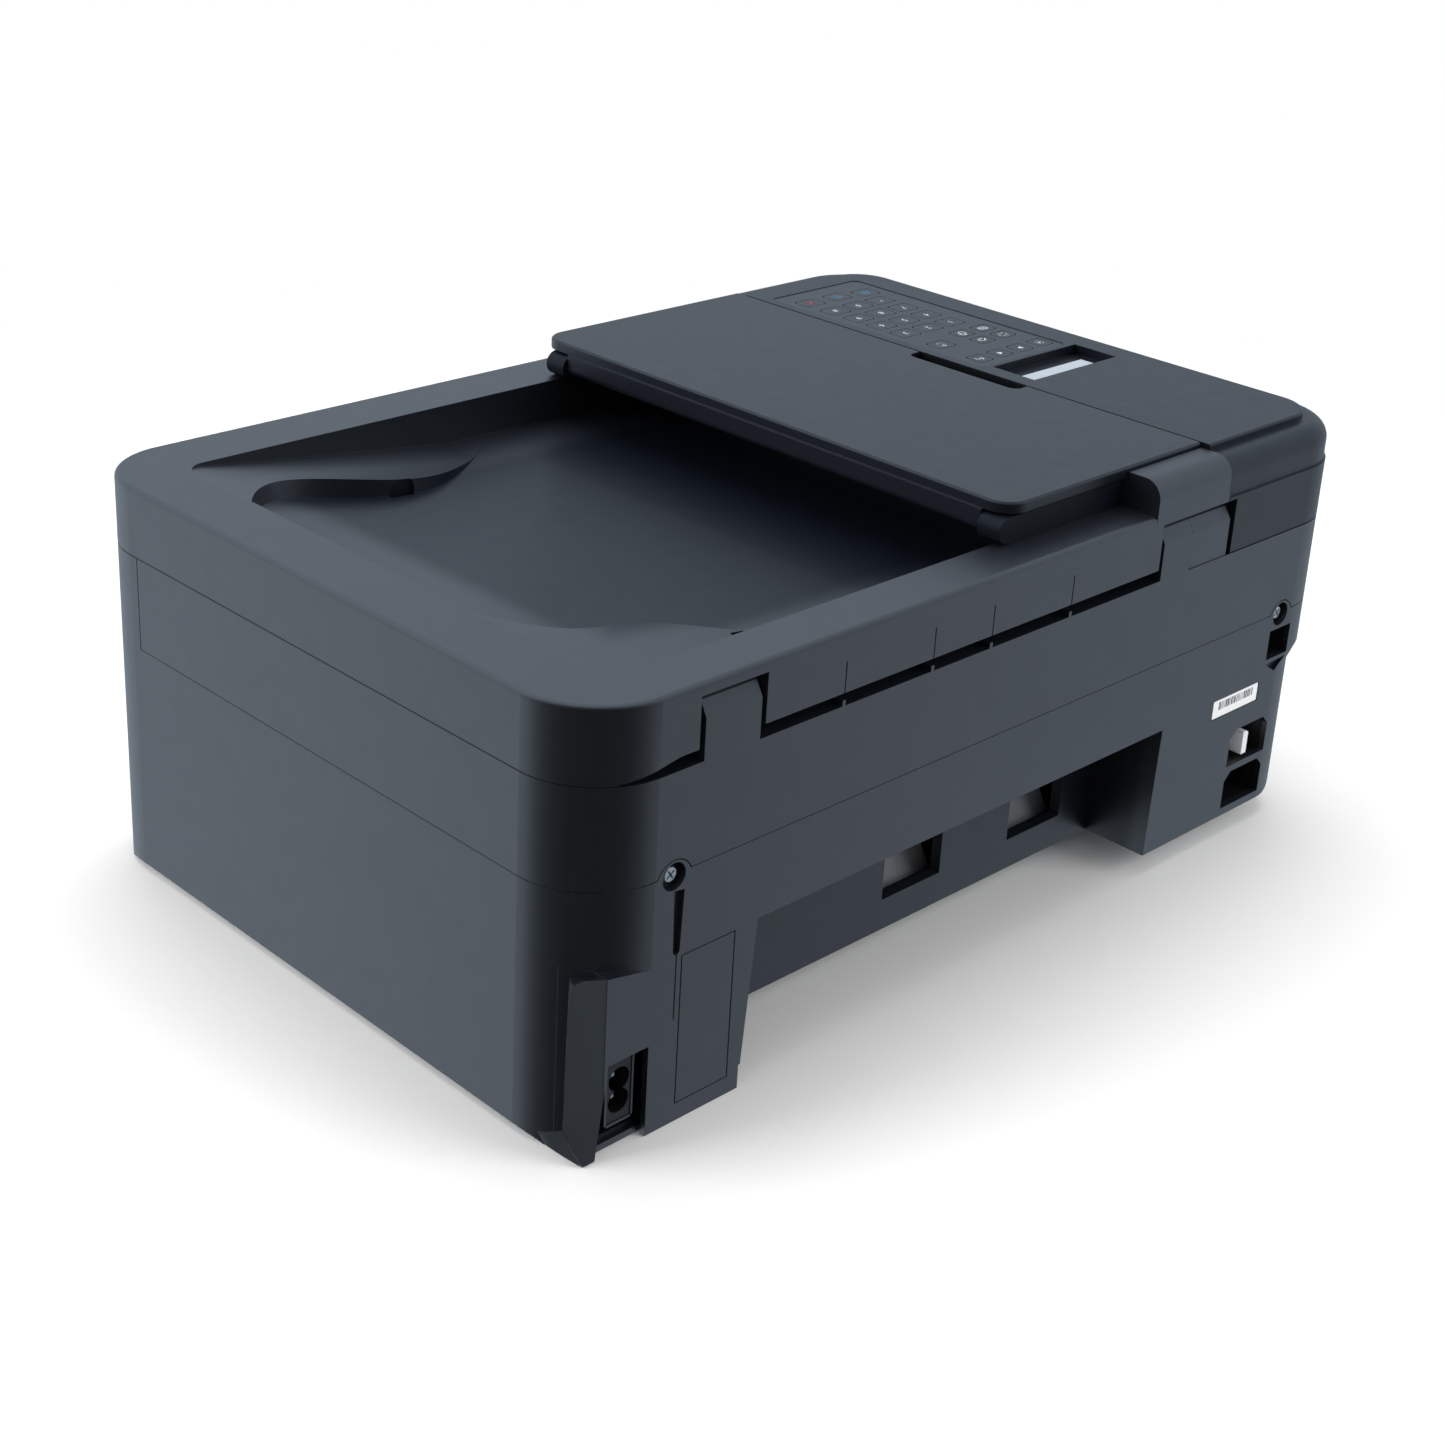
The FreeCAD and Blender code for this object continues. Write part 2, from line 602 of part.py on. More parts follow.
def engine_frame():
    """Pressed steel frame: two cheeks and the guide beam of the carriage."""
    cheeks = []
    for x, foot_z in ((-RAIL_HALF, BASE_Z + WALL), (RAIL_HALF - 2.0, WALL)):
        cheek = box(x, x + 2.0, -70.0, 80.0, foot_z, 108.0)
        for y, z in ((FEED_Y, FEED_Z), (EJECT_Y, EJECT_Z)):
            cheek = cheek.cut(rod(SHAFT_R + SHAFT_GAP, 4.0, (x - 1.0, y, z), (1, 0, 0)))
        cheeks.append(cheek)
    beam = [(RAIL_Y + 20, 108), (RAIL_Y, 108), (RAIL_Y, 72)]
    beam += [(RAIL_Y + 2, 72), (RAIL_Y + 2, 106), (RAIL_Y + 20, 106)]
    idler_y, idler_z = idler_place()
    stub = rod(IDLER_PIN_R, GEAR_W + 4.0, (2.0 - RAIL_HALF, idler_y, idler_z), (1, 0, 0))
    return join(cheeks[0], cheeks[1], end_prism(beam, -RAIL_HALF, RAIL_HALF), stub)


def print_platen():
    """Ribbed plate that holds the paper flat under the nozzles."""
    x = ENGINE_HALF - 18.0
    y0 = EJECT_Y + 12.0
    y1 = FEED_Y - 12.0
    plate = box(GEAR_X + GEAR_W + 3.0, RAIL_HALF - 2.0, y0, y1, 36.0, 39.0)
    count = int(2 * x / RIB_PITCH) + 1
    starts = [RIB_PITCH * k - x for k in range(count)]
    ribs = [box(start, start + 1.6, y0, y1, 39.0, 42.0) for start in starts]
    return join(plate, *ribs)


def shaft_roller(y, z, radius, sleeves):
    """Paper roller: a steel shaft with rubber sleeves, carried by the cheeks."""
    shaft = rod(SHAFT_R, 2 * RAIL_HALF + 4.0, (-RAIL_HALF - 2.0, y, z), (1, 0, 0))
    pitch = 2 * (ENGINE_HALF - 20.0) / sleeves
    rings = []
    for k in range(sleeves):
        start = -ENGINE_HALF + 20.0 + pitch * (k + 0.1)
        rings.append(rod(radius, pitch * 0.8, (start, y, z), (1, 0, 0)))
    return join(shaft, *rings)


def gear_train():
    """Feed, idler and eject gears, turned so that their teeth mesh at rest."""
    idler_y, idler_z = idler_place()
    step = 2.0 * math.pi / IDLER_TEETH
    to_idler = math.atan2(idler_z - FEED_Z, idler_y - FEED_Y)
    to_eject = math.atan2(EJECT_Z - idler_z, EJECT_Y - idler_y)
    idler_phase = to_idler + math.pi + step / 2.0
    eject_phase = 2.0 * to_eject + math.pi - idler_phase + step / 2.0
    idler_bore = IDLER_PIN_R + SHAFT_GAP
    return {
        "feed_gear": gear(FEED_TEETH, GEAR_W, SHAFT_R, (GEAR_X, FEED_Y, FEED_Z), to_idler),
        "idler_gear": gear(IDLER_TEETH, GEAR_W, idler_bore, (GEAR_X, idler_y, idler_z), idler_phase),
        "eject_gear": gear(EJECT_TEETH, GEAR_W, SHAFT_R, (GEAR_X, EJECT_Y, EJECT_Z), eject_phase),
    }


def idler_place():
    """Centre of the idler that meshes with both roller gears."""
    reach = GEAR_MODULE * (FEED_TEETH + IDLER_TEETH) / 2.0
    dy = EJECT_Y - FEED_Y
    dz = EJECT_Z - FEED_Z
    span = math.hypot(dy, dz)
    rise = math.sqrt(max(reach * reach - span * span / 4.0, 0.0))
    return FEED_Y + dy / 2 + rise * dz / span, FEED_Z + dz / 2 - rise * dy / span


def carriage():
    """Print head carriage hanging on the guide beam, with two cartridge bays."""
    x0 = CARRIAGE_PARK_X - CARRIAGE_W / 2
    body = box(x0, x0 + CARRIAGE_W, -24.0, RAIL_Y - 0.6, 58.0, 100.0)
    for k in (0, 1):
        bay0 = x0 + 4.0 + k * (CARRIAGE_W / 2 - 1.0)
        body = body.cut(box(bay0, bay0 + CARRIAGE_W / 2 - 7.0, -25.0, 36.0, 61.0, 101.0))
    hook = box(x0 + 8.0, x0 + CARRIAGE_W - 8.0, RAIL_Y - 0.6, RAIL_Y + 2.5, 64.0, 71.6)
    return join(body, hook)


def ink_cartridges():
    x0 = CARRIAGE_PARK_X - CARRIAGE_W / 2
    blocks = []
    for k in (0, 1):
        bay0 = x0 + 4.0 + k * (CARRIAGE_W / 2 - 1.0)
        points = [(-22.0, 61.0), (35.0, 61.0), (35.0, 94.0), (-8.0, 94.0), (-22.0, 86.0)]
        blocks.append(end_prism(points, bay0 + 0.4, bay0 + CARRIAGE_W / 2 - 7.4))
    return Part.Compound(blocks)


def timing_belt():
    """Toothed belt loop behind the beam, drawn as a thin band round its two pulleys."""
    y0, y1 = RAIL_Y + 6.0, RAIL_Y + 11.0
    left = -RAIL_HALF + 16.0
    right = RAIL_HALF - 16.0
    rounds = []
    for radius in (6.2, 5.2):
        block = box(left, right, y0, y1, BELT_Z - radius, BELT_Z + radius)
        ends = [rod(radius, y1 - y0, (x, y0, BELT_Z), (0, 1, 0)) for x in (left, right)]
        rounds.append(block.fuse(ends[0]).fuse(ends[1]).removeSplitter())
    return rounds[0].cut(rounds[1])


def belt_pulley(x):
    wheel = rod(5.15, 5.0, (x, RAIL_Y + 6.0, BELT_Z), (0, 1, 0))
    return wheel.cut(rod(1.5 + SHAFT_GAP, 5.0, (x, RAIL_Y + 6.0, BELT_Z), (0, 1, 0)))


def carriage_motor():
    x = RAIL_HALF - 16.0
    can = rod(13.0, 26.0, (x, RAIL_Y + 13.0, BELT_Z), (0, 1, 0))
    shaft = rod(1.5, 9.0, (x, RAIL_Y + 4.4, BELT_Z), (0, 1, 0))
    stub = rod(1.5, 9.4, (-RAIL_HALF + 16.0, RAIL_Y + 2.0, BELT_Z), (0, 1, 0))
    return Part.Compound([can.fuse(shaft), stub])


def maintenance_unit():
    """Capping and wiping station under the parked carriage."""
    x0 = RAIL_HALF - 70.0
    x1 = RAIL_HALF - 6.0
    tub = box(x0, x1, -28.0, 12.0, 42.2, 52.0)
    tub = tub.cut(box(x0 + 2.0, x1 - 2.0, -26.0, 10.0, 46.0, 53.0))
    caps = [box(x, x + 20.0, -18.0, 4.0, 46.0, 54.0) for x in (x0 + 6.0, x0 + 36.0)]
    return join(tub, *caps)


def scan_rail():
    rail = rod(3.0, 2 * HALF_W - 2 * WALL, (-HALF_W + WALL, 6.0, 116.0), (1, 0, 0))
    return rail


def scan_bar():
    """Contact image sensor on its carrier, riding on the scanner rail."""
    bar = box(SCAN_REST_X - 9.0, SCAN_REST_X + 9.0, -98.0, 110.0, 121.0, 131.4)
    shoe = box(SCAN_REST_X - 14.0, SCAN_REST_X + 14.0, -2.0, 14.0, 114.0, 121.0)
    shoe = shoe.cut(rod(3.0 + SHAFT_GAP, 40.0, (SCAN_REST_X - 20.0, 6.0, 116.0), (1, 0, 0)))
    shoe = shoe.cut(box(SCAN_REST_X - 20.0, SCAN_REST_X + 20.0, 3.2, 8.8, 110.0, 116.0))
    return join(bar, shoe)


def front_door(z0, z1, handle):
    """Flap in the front opening with a hinge roll along its lower edge and a finger grip."""
    y0 = -HALF_D
    x = FRONT_HALF - RUN_GAP
    z = door_axis_z(z0)
    panel = box(-x, x, y0, y0 + DOOR_T, z, z1)
    hinge = rod(DOOR_ROLL_R, 2 * x, (-x, y0 + DOOR_ROLL_R, z), (1, 0, 0))
    reach = x + DOOR_PIN_LENGTH
    pins = rod(DOOR_PIN_R, 2 * reach, (-reach, y0 + DOOR_ROLL_R, z), (1, 0, 0))
    grip = box(-handle, handle, y0 - 1.0, y0 + DOOR_T / 2, z1 - 7.0, z1 + 1.0)
    return join(panel.cut(grip), hinge, pins)


def front_tray():
    """Lower flap: the paper tray's front, with guide ribs for its extension."""
    y0 = DOOR_T - HALF_D
    ribs = []
    for side in (-1, 1):
        x0 = side * (EXTENSION_HALF + RUN_GAP)
        x1 = side * (EXTENSION_HALF + RUN_GAP + 2.2)
        ribs.append(box(min(x0, x1), max(x0, x1), y0 - 0.5, y0 + 3.5, FRONT_LOW_Z + 8.0, FRONT_SPLIT_Z - 2.0))
    return join(front_door(TRAY_DOOR_Z, FRONT_SPLIT_Z, 40.0), *ribs)


def tray_extension():
    """Paper stop that slides out of the lower flap."""
    y0 = 2 * DOOR_ROLL_R - HALF_D + RUN_GAP
    plate = box(-EXTENSION_HALF, EXTENSION_HALF, y0, y0 + 2.0, FRONT_LOW_Z + 8.0, FRONT_SPLIT_Z - 4.0)
    window = box(-20.0, 20.0, y0 - 1.0, y0 + 3.0, FRONT_LOW_Z + 22.0, FRONT_SPLIT_Z - 14.0)
    return plate.cut(window)


def paper_guide(side):
    """Width guide on the tray floor, with a foot and a finger tab."""
    x = side * 110.0
    floor_z = BASE_Z + WALL + RUN_GAP
    wall = box(x - 1.2, x + 1.2, -118.0, -78.0, floor_z, 34.0)
    foot = box(min(x, x - side * 16.0), max(x, x - side * 16.0), -112.0, -84.0, floor_z, floor_z + 1.6)
    return join(wall, foot)


def cover_notches():
    """Room in the cover for the hinge towers and the cable cover."""
    cuts = []
    for x0, x1 in (LID_NOTCH, CABLE_NOTCH):
        cuts.append(box(x0, x1, TOWER_FRONT_Y - 4.0, HALF_D + 1.0, LID_Z - 1.0, NOTCH_CEILING_Z))
    return cuts


def pad_pocket():
    return box(GLASS_X0 - 3.0, GLASS_X1 + 3.0, GLASS_Y0 - 3.0, GLASS_Y1 + 3.0, LID_Z - 1.0, LID_POCKET_Z)


def dish_rim(grow, z):
    """Wavy rim of the dished floor at a level, drawn outwards by a growth."""
    far = SHELF_Y0 + 4.0 - grow
    near = SHELF_Y1 - 4.0 + grow
    right = DISH_X + grow
    outline = [
        (BASIN_X0, far), (40.0, far + 2.0), (115.0, -78.0 - grow), (165.0, -88.0 - grow), (right, -74.0),
        (right, 58.0), (165.0 + grow / 2, 78.0 + grow), (140.0, 84.0 + grow), (110.0, 106.0 + grow),
        (60.0, near), (BASIN_X0, near),
    ]
    curve = Part.BSplineCurve()
    curve.interpolate([Vector(x, y, z) for x, y in outline])
    closing = Part.makeLine(Vector(*outline[-1], z), Vector(*outline[0], z))
    return Part.Wire([curve.toShape(), closing])


def floor_cut(points, rise):
    """Everything above a floor line given from right to left, as wide as the shelf."""
    y0 = SHELF_Y0 - 1.0
    floor = Part.BSplineCurve()
    floor.interpolate([Vector(x, y0, z) for x, z in points])
    first = floor.StartPoint
    last = floor.EndPoint
    corners = [last, Vector(last.x, y0, rise), Vector(first.x, y0, rise), first]
    section = [floor.toShape()] + [Part.makeLine(a, b) for a, b in zip(corners, corners[1:])]
    return Part.Face(Part.Wire(section)).extrude(Vector(0, SHELF_Y1 - SHELF_Y0 + 2.0, 0))


def basin():
    """Document output basin: a shelf that slopes down into a dished floor running under the feeder."""
    top = RIM_Z + 1.0
    low = DISH_FLOOR_Z - 2.0
    left = BASIN_X0 - 1.0
    right = SHELF_X + 2.0
    shelf_plan = plan(BASIN_X0, SHELF_X, SHELF_Y0, SHELF_Y1, SHELF_R, low, top)
    slope = [(right, RIM_Z), (SHELF_END_X, SHELF_END_Z), (left, DISH_FLOOR_Z), (left, top), (right, top)]
    shelf = shelf_plan.common(side_prism(slope, SHELF_Y0 - 1.0, SHELF_Y1 + 1.0))
    dish = Part.makeLoft([dish_rim(0.0, low), dish_rim(DISH_DRAFT, top)], True)
    floor = [(right, DISH_EDGE_Z), (DISH_RISE_X, DISH_RISE_Z)]
    floor += [(SHELF_END_X, DISH_FLOOR_Z + 1.0), (left, DISH_FLOOR_Z)]
    dish = dish.common(floor_cut(floor, top)).common(shelf_plan)
    hollow = shelf.fuse(dish)
    for x, y in LIP_SLOTS:
        hollow = hollow.fuse(key_block(x, y, LIP_SLOT_W, LIP_SLOT_H, 1.2, DISH_FLOOR_Z, RIM_Z - 2.0))
    return hollow


def lid_shell():
    lid = top_rounded(body_plan(0.0, LID_Z, RIM_Z), 2.0, RIM_Z)
    lid = lid.common(box(PANEL_X + SEAM_GAP, HALF_W, -HALF_D, HALF_D, LID_Z, RIM_Z))
    lid = lid.cut(basin()).cut(pad_pocket()).cut(end_block_space(0.1))
    for cutter in cover_notches():
        lid = lid.cut(cutter)
    # Slot above the deck along the rear, fading out towards the corner
    slot_x = CABLE_NOTCH[1] - 1.0
    slot = [(slot_x, LID_Z - 1.0), (HALF_W - 10.0, LID_Z - 1.0)]
    slot += [(LID_NOTCH[1] + 8.0, SKIRT_SLOT_Z), (slot_x, SKIRT_SLOT_Z)]
    lid = lid.cut(side_prism(slot, HALF_D - 14.0, HALF_D + 1.0))
    for x in SKIRT_LINE_X:
        lid = lid.cut(rear_groove(x - GROOVE_W / 2, x + GROOVE_W / 2, LID_Z, SKIRT_LINE_TOP_Z))
    for x0, x1 in TOWERS:
        lid = lid.cut(rod(PIN_R, x1 - x0 + 12.0, (x0 - 6.0, HINGE_Y, HINGE_Z), (1, 0, 0)))
    return lid.removeSplitter()


def hinge_pins():
    pins = []
    for x0, x1 in TOWERS:
        pins.append(rod(PIN_R, x1 - x0 + 4.0, (x0 - (0.0 if x0 < 0 else 4.0), HINGE_Y, HINGE_Z), (1, 0, 0)))
    return Part.Compound(pins)


def pressure_pad():
    gap = 1.0
    x0, x1 = GLASS_X0 - 3.0 + gap, GLASS_X1 + 3.0 - gap
    return plan(x0, x1, GLASS_Y0 - 3.0 + gap, GLASS_Y1 + 3.0 - gap, 3.0, DECK_Z + RUN_GAP, LID_POCKET_Z)


def feeder_base():
    """Frame of the document feeder: deck over the rollers and two cheeks that carry the tray."""
    x0 = PANEL_X + SEAM_GAP
    deck = box(x0, FEED_X1, TRAY_Y0 + 1.0, TRAY_Y1 - 1.0, RIM_Z, FEED_DECK_Z)
    deck = deck.cut(end_block_space(SEAM_GAP))
    nose_r = FEED_WALL_Z - TRAY_AXIS_Z
    inner0 = TRAY_Y0 + 1.0 + FEED_WALL_T
    inner1 = TRAY_Y1 - 1.0 - FEED_WALL_T
    cheeks = []
    for y0, start in ((TRAY_Y0 + 1.0, x0), (inner1, END_BLOCK_X1 + SEAM_GAP)):
        wall = box(start, TRAY_AXIS_X, y0, y0 + FEED_WALL_T, RIM_Z, FEED_WALL_Z)
        nose = rod(nose_r, FEED_WALL_T, (TRAY_AXIS_X, y0, TRAY_AXIS_Z), (0, 1, 0))
        cheeks.append(wall.fuse(nose))
    frame = join(deck, *cheeks)
    span = inner1 - inner0 + 2 * BEARING_DEPTH
    y = inner0 - BEARING_DEPTH
    bores = [(TRAY_AXIS_X, TRAY_AXIS_Z, PIN_R)]
    bores += [(x, DOCUMENT_ROLLER_Z, SHAFT_R) for x in (PICK_ROLLER_X, EXIT_ROLLER_X)]
    for x, z, radius in bores:
        frame = frame.cut(rod(radius + SHAFT_GAP, span, (x, y, z), (0, 1, 0)))
    return frame


def end_block_space(grow):
    """Footprint of the feeder's gear housing, carried up from the notch ceiling."""
    y0 = END_BLOCK_Y0 - grow
    return box(END_BLOCK_X0 - grow, END_BLOCK_X1 + grow, y0, HALF_D, NOTCH_CEILING_Z, END_BLOCK_Z)


def end_block():
    """Gear housing at the rear end of the feeder: a low ledge under the tray and a sloping rear top."""
    block = end_block_space(0.0)
    ledge_y = TRAY_Y1 + 2 * RUN_GAP
    block = block.cut(box(END_BLOCK_X0, END_BLOCK_X1, END_BLOCK_Y0, ledge_y, END_LEDGE_Z, END_BLOCK_Z))
    top_edges = [e for e in block.Edges if all(v.Z > END_BLOCK_Z - 1e-6 for v in e.Vertexes)]
    rear_top = [e for e in top_edges if all(v.Y > HALF_D - 1e-6 for v in e.Vertexes)]
    return block.makeFillet(END_BLOCK_R, rear_top)


def document_tray():
    """Document tray folded shut over the feeder, turning on trunnions at its right edge."""
    low = TOP_Z - TRAY_T
    plate = plan(PANEL_X - 40.0, TRAY_X1, TRAY_Y0, TRAY_Y1, TRAY_R, low, TOP_Z)
    plate = top_bevelled(plate, 0.8, TOP_Z)
    plate = plate.common(box(PANEL_X + SEAM_GAP, TRAY_X1, TRAY_Y0, TRAY_Y1, low, TOP_Z))
    finger = plan(PANEL_X - 10.0, PANEL_X + FINGER_DEPTH, FINGER_Y0, FINGER_Y1, 4.0, low - 1, TOP_Z + 1)
    y0 = TRAY_Y0 + 1.0 + FEED_WALL_T + RUN_GAP
    y1 = TRAY_Y1 - 1.0 - FEED_WALL_T - RUN_GAP
    bar = rod(TRAY_BAR_R, y1 - y0, (TRAY_AXIS_X, y0, TRAY_AXIS_Z), (0, 1, 0))
    web = box(TRAY_AXIS_X - TRAY_BAR_R, TRAY_AXIS_X + TRAY_BAR_R, y0, y1, TRAY_AXIS_Z, low + 0.1)
    reach = BEARING_DEPTH - RUN_GAP
    pins = rod(PIN_R, y1 - y0 + 2 * reach, (TRAY_AXIS_X, y0 - reach, TRAY_AXIS_Z), (0, 1, 0))
    return join(plate.cut(finger), bar, web, pins)


def document_guide(side):
    """Width guide that slides across the underside of the closed tray."""
    y = side * 92.0
    z1 = TOP_Z - TRAY_T - RUN_GAP
    wall = box(-112.0, -72.0, y - 1.2, y + 1.2, FEED_DECK_Z + 0.5, z1)
    foot = box(-106.0, -78.0, min(y, y - side * 14.0), max(y, y - side * 14.0), z1 - 1.6, z1)
    return join(wall, foot)


def feeder_roller(x, sleeve):
    """Document roller on a cross shaft carried by the feeder's cheeks."""
    reach = BEARING_DEPTH - RUN_GAP
    y0 = TRAY_Y0 + 1.0 + FEED_WALL_T - reach
    y1 = TRAY_Y1 - 1.0 - FEED_WALL_T + reach
    shaft = rod(SHAFT_R, y1 - y0, (x, y0, DOCUMENT_ROLLER_Z), (0, 1, 0))
    rubber = rod(DOCUMENT_ROLLER_R, sleeve, (x, -sleeve / 2, DOCUMENT_ROLLER_Z), (0, 1, 0))
    return join(shaft, rubber)


def control_panel():
    """Control panel housing: skirt, set-back band with a rounded shoulder, and raised top plate."""
    skirt = body_plan(0.0, LID_Z, BAND_Z)
    band = top_rounded(body_plan(BAND_INSET, BAND_Z, SHOULDER_Z), SHOULDER_R, SHOULDER_Z)
    block = skirt.fuse(band).common(box(-HALF_W, PANEL_X, -HALF_D, HALF_D, LID_Z, SHOULDER_Z))
    low = SHOULDER_Z - 1.0
    raised = plan(PANEL_TOP_X0, PANEL_X + 60.0, PANEL_TOP_Y0, PANEL_TOP_Y1, PANEL_TOP_R, low, TOP_Z)
    raised = top_bevelled(raised, 0.7, TOP_Z)
    raised = raised.common(box(-HALF_W, PANEL_X, -HALF_D, HALF_D, low, TOP_Z))
    block = block.fuse(raised)
    cuts = cover_notches() + [pad_pocket()]
    room_y = (14.0 - HALF_D, TOWER_FRONT_Y - 10.0)
    cuts.append(plan(6.0 - HALF_W, PANEL_X - WALL, *room_y, 20.0, LID_Z - 1.0, PANEL_SKIN_Z))
    cuts.append(film_block(0.0, TOP_Z + 1.0))
    cuts.append(box(DISPLAY_X0, DISPLAY_X1, DISPLAY_Y0, DISPLAY_Y1, TOP_Z - DISPLAY_DEPTH, TOP_Z + 1))
    for _, x, y, w, h in KEYS:
        cuts.append(key_hole(x, y, w, h))
    for x in NUMBER_X:
        for y in NUMBER_Y:
            cuts.append(key_hole(x, y, NUMBER_W, NUMBER_H))
    for cutter in cuts:
        block = block.cut(cutter)
    return block.removeSplitter()


def key_hole(x, y, w, h):
    return key_block(x, y, w + 2 * KEY_GAP, h + 2 * KEY_GAP, KEY_BEVEL, PANEL_SKIN_Z - 1.0, TOP_Z + 1.0)


def film_block(inset, top):
    """Outline of the printed film, drawn in by an inset and carried up to a level."""
    x = (FILM_X0 + FILM_X1) / 2
    y = (FILM_Y0 + FILM_Y1) / 2
    size = (FILM_X1 - FILM_X0 - 2 * inset, FILM_Y1 - FILM_Y0 - 2 * inset)
    return key_block(x, y, size[0], size[1], 2 * KEY_BEVEL, TOP_Z - FILM_T, top)


def key_film():
    """Printed film set into the panel round the keys."""
    gap = 0.1
    film = film_block(gap, TOP_Z - KEY_SINK)
    holes = [key_hole(x, y, w, h) for _, x, y, w, h in KEYS]
    holes += [key_hole(x, y, NUMBER_W, NUMBER_H) for x in NUMBER_X for y in NUMBER_Y]
    return film.cut(Part.makeCompound(holes))


def key_cap(x, y, w, h):
    """Key cap with a flange under the panel skin that keeps it in."""
    flange_z = PANEL_SKIN_Z - RUN_GAP
    reach = 2 * (KEY_GAP + KEY_FLANGE)
    cap = key_block(x, y, w, h, KEY_BEVEL, flange_z - KEY_FLANGE_T, TOP_Z - KEY_SINK)
    flange = key_block(x, y, w + reach, h + reach, KEY_BEVEL, flange_z - KEY_FLANGE_T, flange_z)
    return join(cap, flange)


def number_keys():
    """One soft key mat that carries the twelve number keys."""
    top = PANEL_SKIN_Z - RUN_GAP
    low = top - KEY_FLANGE_T
    x = (NUMBER_X[0] + NUMBER_X[-1]) / 2
    y = (NUMBER_Y[0] + NUMBER_Y[-1]) / 2
    w = NUMBER_X[0] - NUMBER_X[-1] + NUMBER_W + 2.0
    h = NUMBER_Y[-1] - NUMBER_Y[0] + NUMBER_H + 2.0
    mat = key_block(x, y, w, h, KEY_BEVEL, low, top)
    high = TOP_Z - KEY_SINK
    places = [(x, y) for x in NUMBER_X for y in NUMBER_Y]
    return join(mat, *[key_block(x, y, NUMBER_W, NUMBER_H, KEY_BEVEL, low, high) for x, y in places])


def panel_board():
    """Key switch board under the panel skin."""
    z1 = PANEL_SKIN_Z - RUN_GAP - KEY_FLANGE_T - KEY_TRAVEL - RUN_GAP
    board = plan(12.0 - HALF_W, PANEL_X - 4.0, 20.0 - HALF_D, TOWER_FRONT_Y - 16.0, 12.0, z1 - 1.6, z1)
    places = [(FILM_X0 - 7.0, y) for y in (FILM_Y0 + 17.0, FILM_Y1, 90.0)]
    places.append((FILM_X1 - 9.0, 90.0))
    posts = [key_block(x, y, 5.0, 5.0, 1.0, z1 - 1.6, PANEL_SKIN_Z) for x, y in places]
    return join(board, *posts)


def display_window():
    """Display under its clear window, at the bottom of its recess."""
    z = TOP_Z - DISPLAY_DEPTH
    y = DISPLAY_Y1 - 4.0
    return box(DISPLAY_X0 + DISPLAY_MARGIN, DISPLAY_X1 - DISPLAY_MARGIN, y - DISPLAY_H, y, z, z + DISPLAY_T)


def build():
    nodes = {
        "lower_case": lower_case(),
        "upper_case": upper_case(),
        "cable_cover": cable_cover(),
        "platen_glass": platen_glass(),
        "rubber_feet": rubber_feet(),
        "case_screws": case_screws(),
        "power_inlet": power_inlet(),
        "power_supply": power_supply(),
        "usb_port": usb_port(),
        "phone_jacks": phone_jacks(),
        "jack_plug": jack_plug(),
        "main_board": main_board(),
        "engine_frame": engine_frame(),
        "print_platen": print_platen(),
        "feed_roller": shaft_roller(FEED_Y, FEED_Z, ROLLER_R, 1),
        "eject_roller": shaft_roller(EJECT_Y, EJECT_Z, ROLLER_R - 1.0, 1),
        "carriage": carriage(),
        "ink_cartridges": ink_cartridges(),
        "timing_belt": timing_belt(),
        "drive_pulley": belt_pulley(RAIL_HALF - 16.0),
        "idler_pulley": belt_pulley(-RAIL_HALF + 16.0),
        "carriage_motor": carriage_motor(),
        "maintenance_unit": maintenance_unit(),
        "scan_rail": scan_rail(),
        "scan_bar": scan_bar(),
        "front_tray": front_tray(),
        "tray_extension": tray_extension(),
        "output_cover": front_door(COVER_DOOR_Z, FRONT_TOP_Z - RUN_GAP, 30.0),
        "paper_guide_left": paper_guide(-1),
        "paper_guide_right": paper_guide(1),
        "lid_shell": lid_shell(),
        "hinge_pins": hinge_pins(),
        "pressure_pad": pressure_pad(),
        "feeder_base": feeder_base(),
        "feeder_end_block": end_block(),
        "document_tray": document_tray(),
        "document_guide_front": document_guide(-1),
        "document_guide_rear": document_guide(1),
        "control_panel": control_panel(),
        "key_film": key_film(),
        "panel_board": panel_board(),
        "display_window": display_window(),
        "number_keys": number_keys(),
    }
    nodes["feeder_pick_roller"] = feeder_roller(PICK_ROLLER_X, 36.0)
    nodes["feeder_exit_roller"] = feeder_roller(EXIT_ROLLER_X, 90.0)
    nodes.update(gear_train())
    for name, x, y, w, h in KEYS:
        nodes[name] = key_cap(x, y, w, h)
    return nodes


def main():
    os.makedirs("parts", exist_ok=True)
    for name, shape in build().items():
        shape.exportStep("parts/" + name + ".step")
        print(name, len(shape.Solids), shape.isValid())


main()
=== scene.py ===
import json
import logging
import math
import random
from dataclasses import dataclass
from enum import Enum
from typing import Sequence

import bmesh
import bpy
from mathutils import Matrix, Vector
from mathutils.bvhtree import BVHTree
from mathutils.interpolate import poly_3d_calc


